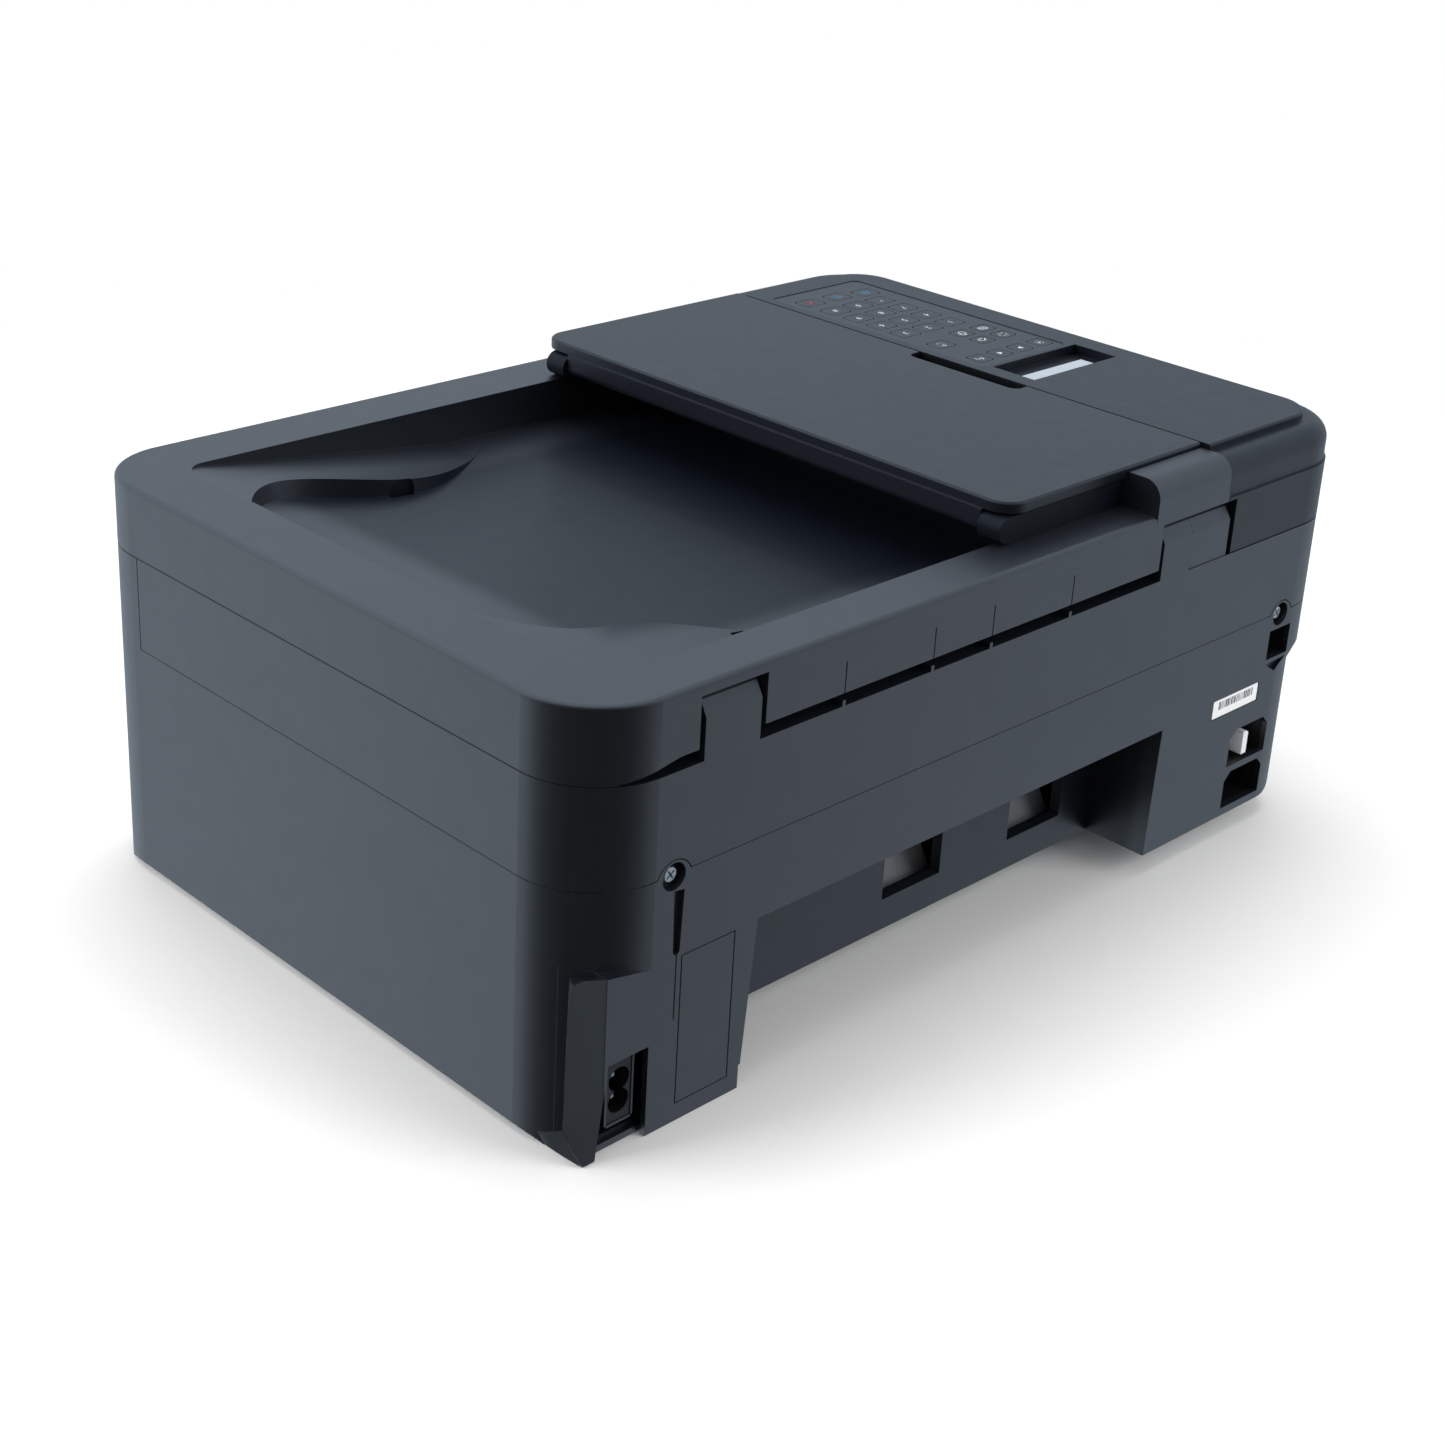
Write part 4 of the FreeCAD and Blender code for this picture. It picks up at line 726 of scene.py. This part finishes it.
    def inlet_rim(self) -> None:
        """Raised rim round the mains inlet and the lip that closes its notch below."""
        low, high = (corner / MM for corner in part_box("power_inlet"))
        plane = Plane(Face.REAR, high.y)
        inset, width, under, over = self.rim_mm
        rim = bmesh.new()
        middle_line = oblong(inset - high.x, -low.x - inset, low.z + inset, high.z - inset)
        for outline in stroke(middle_line, width, closed=True):
            slab(rim, plane, outline, under, over)
        self.shop.piece("inlet_rim", rim, CASE, "base", "charcoal_case")
        lip = bmesh.new()
        inner = self.lip_inner_mm
        for (x0, z0), (x1, z1), top in zip(self.lip_edge_mm, self.lip_edge_mm[1:], self.lip_tops_mm):
            slab(lip, plane, [(-x0, z0), (-inner, z0), (-inner, z1), (-x1, z1)], self.lip_floor_mm, top)
        self.shop.piece("notch_lip", lip, CASE, "base", "charcoal_case")

    def window_frames(self) -> None:
        """Bevelled frame in each window of the recess, with a sloping plate behind it whose lighter grey is a
        painted reflection.
        """
        frames = bmesh.new()
        plates = bmesh.new()
        face, back = self.window_y_mm
        inset = self.window_bevel_mm
        z0, z1 = self.window_z_mm
        step = Vector((0.0, self.plate_step_mm, self.plate_step_mm))
        for x in self.window_x_mm:
            x0, x1 = x - self.window_half_mm, x + self.window_half_mm
            wide = oblong(x0, x1, z0, z1)
            narrow = oblong(x0 + inset, x1 - inset, z0 + inset, z1 - inset)
            near, far, rear = (
                [frames.verts.new(Vector((u, y, v)) * MM) for u, v in outline]
                for outline, y in ((wide, face), (narrow, back), (wide, back))
            )
            join(frames, near, far)
            join(frames, far, rear)
            left, right = x0 - self.plate_reach_mm[0], x1 + self.plate_reach_mm[1]
            low, high = zip(self.plate_y_mm, self.plate_z_mm)
            top = [Vector(c) for c in ((left, *low), (right, *low), (right, *high), (left, *high))]
            solid(plates, ([(c - step) * MM for c in top], [c * MM for c in top]))
        self.shop.piece("window_frames", frames, CASE, "base", "charcoal_case")
        # Painted reflection: the plates are a lighter grey than the charcoal case they belong to.
        self.shop.piece("window_plates", plates, WINDOW_PLATE_REFLECTION, "base", "charcoal_case")

    def build(self) -> None:
        """Makes all rear details."""
        self.screw_cross_shadows()
        self.label()
        self.pin_tips()
        self.inlet_rim()
        self.window_frames()


@dataclass
class Reshaped:
    """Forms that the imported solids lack: changed copies that stand for CAD nodes, and the inlet leg's corner.

    Attributes:
        block_x_mm: Where the kept part of the inlet leg's block ends, and the end of the cut.
        block_rings_mm: Sections of the new outer block, from the rear face round to the corner.
        block_shade_share: Least likeness of a face's own direction to it.
        pad_rows: Places of the foot pad: degrees round the corner, height there, and the edge on the floor.
        probe_share: How far shading is read inside a face's corner.
        touch_mm: Gap up to which a changed face lies on a CAD face.
        touch_share: Least likeness of their directions.
        tray_reach_mm: How far that edge moves along y.
        tray_gap_mm: How far that edge moves along x.
    """

    shop: Workshop
    rear_mm: float = 147.5
    cut_room_mm: float = 1.0
    corner_mm: Point2 = (185.5, 115.5)
    corner_radius_mm: float = 32.05
    corner_steps: int = 12
    block_x_mm: Point2 = (205.2, 213.3)
    block_side_mm: float = 3.0
    block_z_mm: Point2 = (-1.0, 73.0)
    block_rings_mm: tuple[tuple[Point3, ...], ...] = (
        ((208.1, 147.4, 0.3), (213.4, 147.4, 0.3), (213.6, 141.0, 0.3), (208.1, 136.0, 0.3)),
        ((206.5, 147.45, 13.3), (217.35, 141.0, 13.3), (210.5, 134.8, 13.3), (206.5, 138.6, 13.3)),
        ((205.1, 147.45, 24.0), (217.35, 141.4, 24.0), (210.5, 134.8, 24.0), (205.1, 139.5, 24.0)),
        ((205.1, 147.45, 66.5), (217.35, 142.8, 67.0), (210.5, 134.8, 67.0), (205.1, 139.5, 66.5)),
        ((205.1, 147.45, 69.2), (216.2, 143.2, 70.2), (210.4, 134.9, 67.4), (205.1, 139.5, 67.2)),
        ((205.1, 147.45, 69.9), (213.4, 144.3, 71.3), (209.5, 135.8, 67.8), (205.1, 139.5, 67.6)),
    )
    block_shade: Point3 = (0.12, 0.99, 0.0)
    block_shade_share: float = 0.7
    smooth_deg: float = 40.0
    pad_rows: tuple[tuple[float, float, Point2], ...] = (
        (0.0, 3.0, (214.6, 113.0)),
        (10.0, 3.6, (214.6, 121.0)),
        (20.0, 4.7, (214.5, 129.0)),
        (30.0, 6.2, (214.3, 137.0)),
        (39.0, 8.0, (213.6, 145.5)),
    )
    pad_sink_mm: float = 0.1
    pad_depth_mm: float = 4.0
    pad_floor_mm: float = 0.15
    slit_mm: tuple[Point2, ...] = (
        (172.0, 91.8), (176.8, 92.6), (176.0, 68.6), (175.2, 67.6), (173.8, 67.6), (173.0, 68.6)
    )
    slit_floor_mm: float = 145.3
    weld_m: float = 1e-6
    probe_share: float = 0.02
    touch_mm: float = 0.02
    touch_share: float = 0.95
    tray_low_mm: float = 176.9
    tray_front_mm: float = -117.9
    tray_reach_mm: float = -6.0
    tray_seam_mm: float = -124.0
    tray_gap_mm: float = 0.6

    def stand_in(self, node: str, data: bpy.types.Mesh, body: str, slot: str) -> None:
        """Puts changed mesh data in a node's place."""
        finish = NODE_FINISHES.get(node, FINISHES[slot])
        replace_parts(self.shop.place(node + "_form", data, finish, body, slot), node)

    def carry_normals(self, data: bpy.types.Mesh, node: str) -> None:
        """Gives changed mesh data the node's own shading where its faces lie on the node's faces."""
        source = frame["nodes"][node].data
        corners = [vert.co for vert in source.vertices]
        tree = BVHTree.FromPolygons(corners, [tuple(face.vertices) for face in source.polygons])
        normals = []
        for face in data.polygons:
            for loop in face.loop_indices:
                corner = data.vertices[data.loops[loop].vertex_index].co
                place, flat, index, gap = tree.find_nearest(corner.lerp(face.center, self.probe_share))
                normal = face.normal.copy()
                if gap < self.touch_mm * MM and flat.dot(normal) > self.touch_share:
                    under = source.polygons[index]
                    shares = poly_3d_calc([corners[v] for v in under.vertices], place)
                    shades = [source.corner_normals[k].vector for k in under.loop_indices]
                    normal = sum((s * v for s, v in zip(shares, shades)), Vector()).normalized()
                normals.append(normal)
        data.shade_smooth()
        data.normals_split_custom_set(normals)

    def block_cutter(self) -> EditMesh:
        """Returns the outer part of the inlet leg's block, outside the case's rounded corner."""
        cx, cy = self.corner_mm
        radius = self.corner_radius_mm
        keep, end = self.block_x_mm
        rear = self.rear_mm + self.cut_room_mm
        turns = [math.degrees(math.acos((x - cx) / radius)) for x in (keep, end)]
        bend = [(cx + u, cy + v) for u, v in arc(radius, *turns, self.corner_steps)]
        side = bend[-1][0] + self.block_side_mm
        mesh = bmesh.new()
        slab(mesh, PLAN, [(keep, rear), *bend, (side, bend[-1][1]), (side, rear)], *self.block_z_mm)
        return mesh

    def slit_cutter(self) -> EditMesh:
        """Returns the slit under the left screw, as a prism that reaches out of the rear."""
        mesh = bmesh.new()
        outline = [(-x, z) for x, z in self.slit_mm]
        slab(mesh, Plane(Face.REAR, 0.0), outline, self.slit_floor_mm, self.rear_mm + self.cut_room_mm)
        return mesh

    def lower_case(self) -> None:
        """Lower case without the outer part of its inlet block, and with a wider slit."""
        mesh = bmesh.new()
        mesh.from_mesh(frame["nodes"]["lower_case"].data)
        bmesh.ops.remove_doubles(mesh, verts=mesh.verts, dist=self.weld_m)
        case = stand("lower_case_cut", mesh_data("lower_case_cut", mesh))
        tools = []
        for cutter in (self.block_cutter(), self.slit_cutter()):
            bmesh.ops.recalc_face_normals(cutter, faces=cutter.faces)
            tools.append(stand("cutter", mesh_data("cutter", cutter)))
            step = case.modifiers.new("cut", "BOOLEAN")
            step.object = tools[-1]
            step.solver = "EXACT"
        data = baked(case)
        for tool in tools:
            bpy.data.objects.remove(tool)
        self.carry_normals(data, "lower_case")
        self.stand_in("lower_case", data, "base", "charcoal_case")

    def loft(self, name: str, rings: Sequence[Sequence[Point3]]) -> bpy.types.Mesh:
        """Makes a closed case piece.

        Args:
            name: Name of the piece.
            rings: Sections with as many points each, from one end to the other.

        Returns:
            The piece's mesh data.
        """
        mesh = bmesh.new()
        solid(mesh, [[Vector(point) * MM for point in ring] for ring in rings])
        data = self.shop.piece(name, mesh, CASE, "base", "charcoal_case").data
        data.shade_smooth()
        data.set_sharp_from_angle(angle=math.radians(self.smooth_deg))
        return data

    def inlet_block(self) -> None:
        """Outer part of the inlet leg's block, whose rear is shaded as one with the case's rear."""
        data = self.loft("inlet_block", self.block_rings_mm)
        rear = Vector(self.block_shade).normalized()
        normals = []
        for face in data.polygons:
            blended = face.normal.dot(rear) > self.block_shade_share
            normals += [rear if blended else face.normal] * face.loop_total
        data.normals_split_custom_set(normals)

    def foot_pad(self) -> None:
        """Pad that squares the inlet leg's corner off on the floor."""
        cx, cy = self.corner_mm
        outer = self.corner_radius_mm - self.pad_sink_mm
        inner = outer - self.pad_depth_mm
        floor = self.pad_floor_mm
        rings = []
        for turn, top, edge in self.pad_rows:
            u, v = math.cos(math.radians(turn)), math.sin(math.radians(turn))
            upper = (cx + outer * u, cy + outer * v, top)
            rings.append((upper, (*edge, floor), (cx + inner * u, cy + inner * v, floor)))
        self.loft("foot_pad", rings)

    def document_tray(self) -> None:
        """Document tray whose plate covers the feeder's cheek and leaves a seam beside the key panel."""
        data = frame["nodes"]["document_tray"].data.copy()
        for vert in data.vertices:
            if vert.co.z / MM > self.tray_low_mm:
                if vert.co.y / MM < self.tray_front_mm:
                    vert.co.y += self.tray_reach_mm * MM
                if vert.co.x / MM < self.tray_seam_mm:
                    vert.co.x += self.tray_gap_mm * MM
        self.stand_in("document_tray", data, "document_tray", "charcoal_case")

    def build(self) -> None:
        """Makes all these forms."""
        self.lower_case()
        self.inlet_block()
        self.foot_pad()
        self.document_tray()


@dataclass
class ShadowGaps:
    """Painted shadow in the seams: a dark ground inside the gaps, which the eye sees as lines round the case.

    Attributes:
        inset_mm: How far the ground's middle line lies behind the outside.
        hair_mm: Allowance when places are compared.
        panel_side_mm: Depth over which panel points count as its side.
        panel_gap_mm: Start and end of the dark plate in the gap beside the key panel.
    """

    shop: Workshop
    half_mm: Point2 = (217.5, 147.5)
    radius_mm: float = 32.0
    corner_steps: int = 10
    inset_mm: float = 0.24
    line_mm: float = 0.4
    case_seam_mm: Point2 = (98.8, 99.6)
    lid_seam_mm: Point2 = (137.05, 137.8)
    lid_rear_mm: float = 3.0
    tab_x_mm: float = 177.1
    tab_half_mm: float = 9.5
    hair_mm: float = 0.01
    panel_side_mm: float = 0.15
    panel_gap_mm: Point2 = (-125.12, -124.88)
    panel_gap_inset_mm: float = 0.7

    def stretches(self) -> list[tuple[Point2, Point2]]:
        """Returns the stretches of the case's outline, drawn in by the inset."""
        w, d = (half - self.inset_mm for half in self.half_mm)
        points = rounded(-w, w, -d, d, self.radius_mm - self.inset_mm, self.corner_steps)
        return list(zip(points, points[1:] + points[:1]))

    def seam(self, name: str, stretches: Sequence[tuple[Point2, Point2]], edges: Point2, body: str) -> None:
        """Makes the painted shadow of one seam along some stretches."""
        mesh = bmesh.new()
        for stretch in stretches:
            for outline in stroke(stretch, self.line_mm):
                slab(mesh, PLAN, outline, *edges)
        self.shop.piece(name, mesh, SHADOW_LINE, body, "socket_black")

    def case_seam_shadow(self) -> None:
        """Painted shadow in the seam between the lower and the upper case, apart from the screw tabs."""
        rear = self.half_mm[1] - self.inset_mm - self.hair_mm
        inner = self.tab_x_mm - self.tab_half_mm
        outer = self.tab_x_mm + self.tab_half_mm
        kept = []
        for a, b in self.stretches():
            if min(a[1], b[1]) > rear:
                kept.append(((inner, a[1]), (-inner, b[1])))
            elif min(a[1], b[1]) <= 0.0 or min(abs(a[0]), abs(b[0])) >= outer:
                kept.append((a, b))
        self.seam("case_seam_shadow", kept, self.case_seam_mm, "base")

    def lid_seam_shadow(self) -> None:
        """Painted shadow in the seam under the scanner cover, apart from the rear."""
        end = self.half_mm[1] - self.lid_rear_mm
        kept = [(a, b) for a, b in self.stretches() if max(a[1], b[1]) < end]
        self.seam("lid_seam_shadow", kept, self.lid_seam_mm, "document_cover")

    def panel_gap_shadow(self) -> None:
        """Painted shadow in the gap beside the key panel: a dark plate as high and deep as the panel's side."""
        points = [vert.co / MM for vert in frame["nodes"]["control_panel"].data.vertices]
        edge = max(point.x for point in points) - self.panel_side_mm
        side = [point.yz for point in points if point.x > edge]
        low = Vector([min(column) for column in zip(*side)])
        high = Vector([max(column) for column in zip(*side)])
        middle, half = (low + high) / 2.0, (high - low) / 2.0
        mesh = bmesh.new()
        for point in side:
            y, z = (m + (p - m) * (1.0 - self.panel_gap_inset_mm / h) for p, m, h in zip(point, middle, half))
            for x in self.panel_gap_mm:
                mesh.verts.new(Vector((x, y, z)) * MM)
        bmesh.ops.convex_hull(mesh, input=mesh.verts)
        self.shop.piece("panel_gap_shadow", mesh, SHADOW_LINE, "document_cover", "socket_black")

    def build(self) -> None:
        """Makes all painted seam shadows."""
        self.case_seam_shadow()
        self.lid_seam_shadow()
        self.panel_gap_shadow()


@dataclass(frozen=True)
class Pictogram:
    """Generic sign on a key, drawn about its own middle in millimetres."""

    ink: PrintInk
    bold: Sequence[Sequence[Point2]] = ()
    loops: Sequence[Sequence[Point2]] = ()
    lines: Sequence[Sequence[Point2]] = ()
    fills: Sequence[Sequence[Point2]] = ()
    line_mm: float = 0.4
    bold_mm: float = 0.7

    def outlines(self) -> list[Sequence[Point2]]:
        """Returns the flat outlines that draw the sign."""
        made = [quad for line in self.bold for quad in stroke(line, self.bold_mm)]
        made += [quad for line in self.loops for quad in stroke(line, self.line_mm, closed=True)]
        made += [quad for line in self.lines for quad in stroke(line, self.line_mm)]
        return [*made, *self.fills]


DIAMOND = ((0.0, -2.4), (2.4, 0.0), (0.0, 2.4), (-2.4, 0.0))
SIGNS: dict[str, Pictogram] = {
    "stop_key": Pictogram(INK_RED, lines=[arc(2.4)], fills=[((-1.2, -1.0), (1.2, -1.0), (0.0, 1.2))]),
    "start_black_key": Pictogram(INK_BLUE, loops=[DIAMOND], lines=[((-0.1, -1.0), (-0.1, 1.0))]),
    "start_colour_key": Pictogram(
        INK_BLUE, loops=[DIAMOND], fills=[disc(u, 0.0, 0.45, 10) for u in (-1.0, 0.0, 1.0)]
    ),
    "copy_key": Pictogram(
        INK_WHITE, loops=[oblong(-2.0, 0.8, -2.2, 1.0)], lines=[((1.9, -1.0), (1.9, 2.2), (-0.8, 2.2))]
    ),
    "scan_key": Pictogram(INK_WHITE, loops=[oblong(-2.4, 2.4, -1.4, 1.4)], lines=[((-1.5, 0.0), (1.5, 0.0))]),
    "fax_key": Pictogram(
        INK_WHITE,
        bold=[((-2.2, -0.6), (-1.0, 1.0), (1.0, 1.0), (2.2, -0.6))],
        lines=[((-1.4, -1.6), (1.4, -1.6))],
    ),
    "setup_key": Pictogram(INK_WHITE, lines=[arc(1.5), *zip(arc(1.7, count=6)[:-1], arc(2.4, count=6))]),
    "power_key": Pictogram(INK_WHITE, lines=[arc(2.1, 120.0, 420.0), ((0.0, 0.8), (0.0, 2.6))]),
    "back_key": Pictogram(
        INK_WHITE,
        lines=[((2.0, -1.2), (2.0, 0.6), (-1.6, 0.6)), ((-0.6, 1.7), (-1.8, 0.6), (-0.6, -0.5))],
    ),
    "left_key": Pictogram(INK_WHITE, fills=[((1.0, -1.4), (1.0, 1.4), (-1.4, 0.0))]),
    "right_key": Pictogram(INK_WHITE, fills=[((-1.0, -1.4), (1.4, 0.0), (-1.0, 1.4))]),
    "ok_key": Pictogram(INK_WHITE, lines=[arc(1.8)], fills=[disc(0.0, 0.0, 0.6, 12)]),
}


@dataclass
class KeyPanel:
    """Printed signs on the function keys and digits on the number keys.

    Attributes:
        ink_mm: Lower and upper height of the ink on a key.
    """

    shop: Workshop
    ink_mm: Point2 = (-0.02, 0.04)
    digit_size_mm: float = 4.6
    digit_rows: tuple[str, ...] = ("*0#", "789", "456", "123")
    digit_x_mm: tuple[float, ...] = (-172.5, -157.0, -141.5)
    digit_y_mm: tuple[float, ...] = (-86.0, -71.5, -57.0, -42.5)
    mark_names: tuple[tuple[str, str], ...] = (("*", "star"), ("#", "hash"))

    def key_signs(self) -> None:
        """Prints one pictogram in the middle of each function key."""
        for node, sign in SIGNS.items():
            low, high = (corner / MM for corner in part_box(node))
            middle = (low + high) / 2.0
            plane = Plane(Face.TOP, high.z, (middle.x, middle.y))
            mesh = bmesh.new()
            for outline in sign.outlines():
                slab(mesh, plane, outline, *self.ink_mm)
            self.shop.piece("sign_" + node, mesh, sign.ink, node, "white_plug")

    def digit(self, mark: str, middle: Vector) -> None:
        """Prints one mark of the number pad about a place in metres."""
        text = bpy.data.curves.new("digit", "FONT")
        text.body = mark
        text.size = self.digit_size_mm * MM
        text.align_x = "CENTER"
        text.align_y = "CENTER"
        flat = baked(stand("digit", text))
        mesh = bmesh.new()
        mesh.from_mesh(flat)
        bpy.data.meshes.remove(flat)
        bmesh.ops.translate(mesh, vec=middle, verts=mesh.verts)
        name = dict(self.mark_names).get(mark, mark)
        self.shop.piece("digit_" + name, mesh, INK_WHITE, "number_keys", "white_plug")

    def build(self) -> None:
        """Makes all printed signs."""
        self.key_signs()
        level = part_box("number_keys")[1].z / MM + self.ink_mm[1]
        for row, y in zip(self.digit_rows, self.digit_y_mm):
            for mark, x in zip(row, self.digit_x_mm):
                self.digit(mark, Vector((x, y, level)) * MM)


@dataclass
class PhotoCamera:
    """Camera at the photograph's place, in the photograph's own pixels."""

    frame_px: float = 1445.0
    focal_px: float = 2372.19
    centre_px: Point2 = (701.37, 596.94)
    azimuth_deg: float = 134.94
    elevation_deg: float = 22.85
    roll_deg: float = 2.92
    target_mm: Point3 = (1.09, -22.21, 95.0)
    distance_mm: float = 1003.27
    sensor_mm: float = 36.0
    clip_m: float = 0.05

    def build(self) -> None:
        """Makes the camera and hands it to the scene."""
        a, e, r = (math.radians(v) for v in (self.azimuth_deg, self.elevation_deg, self.roll_deg))
        back = Vector((math.sin(a) * math.cos(e), -math.cos(a) * math.cos(e), math.sin(e)))
        level = Vector((0.0, 0.0, 1.0)).cross(back).normalized()
        upright = back.cross(level)
        right = math.cos(r) * level + math.sin(r) * upright
        up = math.cos(r) * upright - math.sin(r) * level
        place = (Vector(self.target_mm) + back * self.distance_mm) * MM
        lens = bpy.data.cameras.new("photo_camera")
        lens.sensor_width = self.sensor_mm
        lens.lens = self.sensor_mm * self.focal_px / self.frame_px
        lens.shift_x = (self.frame_px / 2.0 - self.centre_px[0]) / self.frame_px
        lens.shift_y = (self.centre_px[1] - self.frame_px / 2.0) / self.frame_px
        lens.clip_start = self.clip_m
        camera = stand("photo_camera", lens)
        camera.matrix_world = Matrix((
            (right.x, up.x, back.x, place.x),
            (right.y, up.y, back.y, place.y),
            (right.z, up.z, back.z, place.z),
            (0.0, 0.0, 0.0, 1.0),
        ))
        bpy.context.scene.camera = camera
        LOG.info("camera placed")


@dataclass(frozen=True)
class SoftBox:
    """One rectangular studio lamp, which shows in no reflection."""

    name: str
    place_m: Point3
    aim_m: Point3
    size_m: Point2
    power_w: float

    def build(self) -> None:
        """Makes the lamp."""
        lamp = bpy.data.lights.new(self.name, "AREA")
        lamp.shape = "RECTANGLE"
        lamp.size, lamp.size_y = self.size_m
        lamp.energy = self.power_w
        holder = stand(self.name, lamp)
        holder.visible_glossy = False
        holder.location = self.place_m
        aim = Vector(self.aim_m) - Vector(self.place_m)
        holder.rotation_euler = aim.to_track_quat("-Z", "Y").to_euler()
        LOG.info("lamp %s", self.name)


@dataclass
class Studio:
    """Pale floor, white surround and soft lamps.

    Attributes:
        floor_fade_m: Distances between which it fades into the surround.
        dark_side_edges: Likeness to that direction at which the dark starts, and is full.
        far_side_level: Level of the side across from it.
        bright_side_levels: Level across from it, and on it.
    """

    floor_half_m: float = 1.2
    floor_drop_m: float = 0.0002
    floor_fade_m: Point2 = (0.42, 0.85)
    paper_mm: float = 400.0
    paper_tones: tuple[Colour, Colour] = ((0.9, 0.9, 0.9), (0.92, 0.92, 0.92))
    paper_rough: float = 0.9
    paper_gloss: float = 0.1
    surround: float = 0.55
    white: Colour = (1.0, 1.0, 1.0)
    mirror_tint: Colour = (0.73, 0.86, 1.0)
    dark_side: Point3 = (0.70, 0.70, -0.14)
    dark_side_level: float = 0.03
    dark_side_edges: Point2 = (-0.20, 0.58)
    far_side_level: float = 0.85
    bright_side: Point3 = (0.71, -0.71, 0.0)
    bright_side_levels: Point2 = (0.70, 1.06)
    lamps: tuple[SoftBox, ...] = (
        SoftBox("left_box", (1.6, -0.9, 1.0), (0.15, -0.05, 0.1), (1.2, 1.2), 26.0),
        SoftBox("right_box", (-0.9, 1.7, 1.0), (-0.05, 0.1, 0.1), (1.2, 1.2), 20.0),
        SoftBox("top_box", (-0.3, -0.4, 2.0), (0.0, 0.0, 0.1), (1.6, 1.6), 26.0),
    )

    def floor(self) -> None:
        """Pale seamless floor, which reflections look through."""
        mesh = bmesh.new()
        half = self.floor_half_m
        corners = oblong(-half, half, -half, half)
        mesh.faces.new([mesh.verts.new((u, v, -self.floor_drop_m)) for u, v in corners])
        data = mesh_data("floor", mesh)
        skin = Skin("floor_paper")
        skin.dial("Base Color", skin.mix_colours(skin.noise(self.paper_mm), *self.paper_tones))
        skin.dial("Roughness", self.paper_rough)
        skin.dial("Specular IOR Level", self.paper_gloss)
        reach = skin.vector("LENGTH", skin.place).outputs["Value"]
        fade = skin.ramp(reach, self.floor_fade_m, (1.0, 0.0))
        mirrored = skin.add("ShaderNodeLightPath").outputs["Is Glossy Ray"]
        skin.dial("Alpha", skin.math("MULTIPLY", fade, skin.math("SUBTRACT", 1.0, mirrored)))
        data.materials.append(skin.material)
        stand("floor", data)

    def surround_light(self) -> None:
        """White surround where it is seen, dimmer as a light, and a cool room in reflections."""
        world = bpy.data.worlds.new("surround")
        world.use_nodes = True
        nodes = Nodes(world.node_tree, "Generated")
        path = nodes.add("ShaderNodeLightPath").outputs
        toward_dark, toward_bright = (
            nodes.vector("DOT_PRODUCT", nodes.place, side).outputs["Value"]
            for side in (self.dark_side, self.bright_side)
        )
        dark = nodes.ramp(toward_dark, self.dark_side_edges, (1.0, self.dark_side_level))
        far = nodes.ramp(toward_dark, (-1.0, 0.0), (self.far_side_level, 1.0))
        across = nodes.ramp(toward_bright, (-1.0, 1.0), self.bright_side_levels)
        mirror = nodes.math("MULTIPLY", nodes.math("MULTIPLY", dark, far), across)
        seen = nodes.math("MAXIMUM", path["Is Camera Ray"], path["Is Transmission Ray"])
        light = nodes.mix(path["Is Glossy Ray"], self.surround, mirror)
        back = nodes.tree.nodes["Background"]
        nodes.feed(back.inputs["Strength"], nodes.mix(seen, light, 1.0))
        tint = nodes.mix_colours(path["Is Glossy Ray"], self.white, self.mirror_tint)
        nodes.feed(back.inputs["Color"], tint)
        bpy.context.scene.world = world

    def build(self) -> None:
        """Sets the studio up."""
        self.floor()
        self.surround_light()
        for lamp in self.lamps:
            lamp.build()
        bpy.context.scene.view_settings.view_transform = "Standard"


def main() -> None:
    """Dresses the printer, adds its details and sets the studio up."""
    logging.basicConfig(level=logging.INFO)
    shop = Workshop()
    CadDress(shop).dress()
    Reshaped(shop).build()
    ShadowGaps(shop).build()
    RearDetails(shop).build()
    KeyPanel(shop).build()
    PhotoCamera().build()
    Studio().build()


if __name__ == "__main__":
    main()
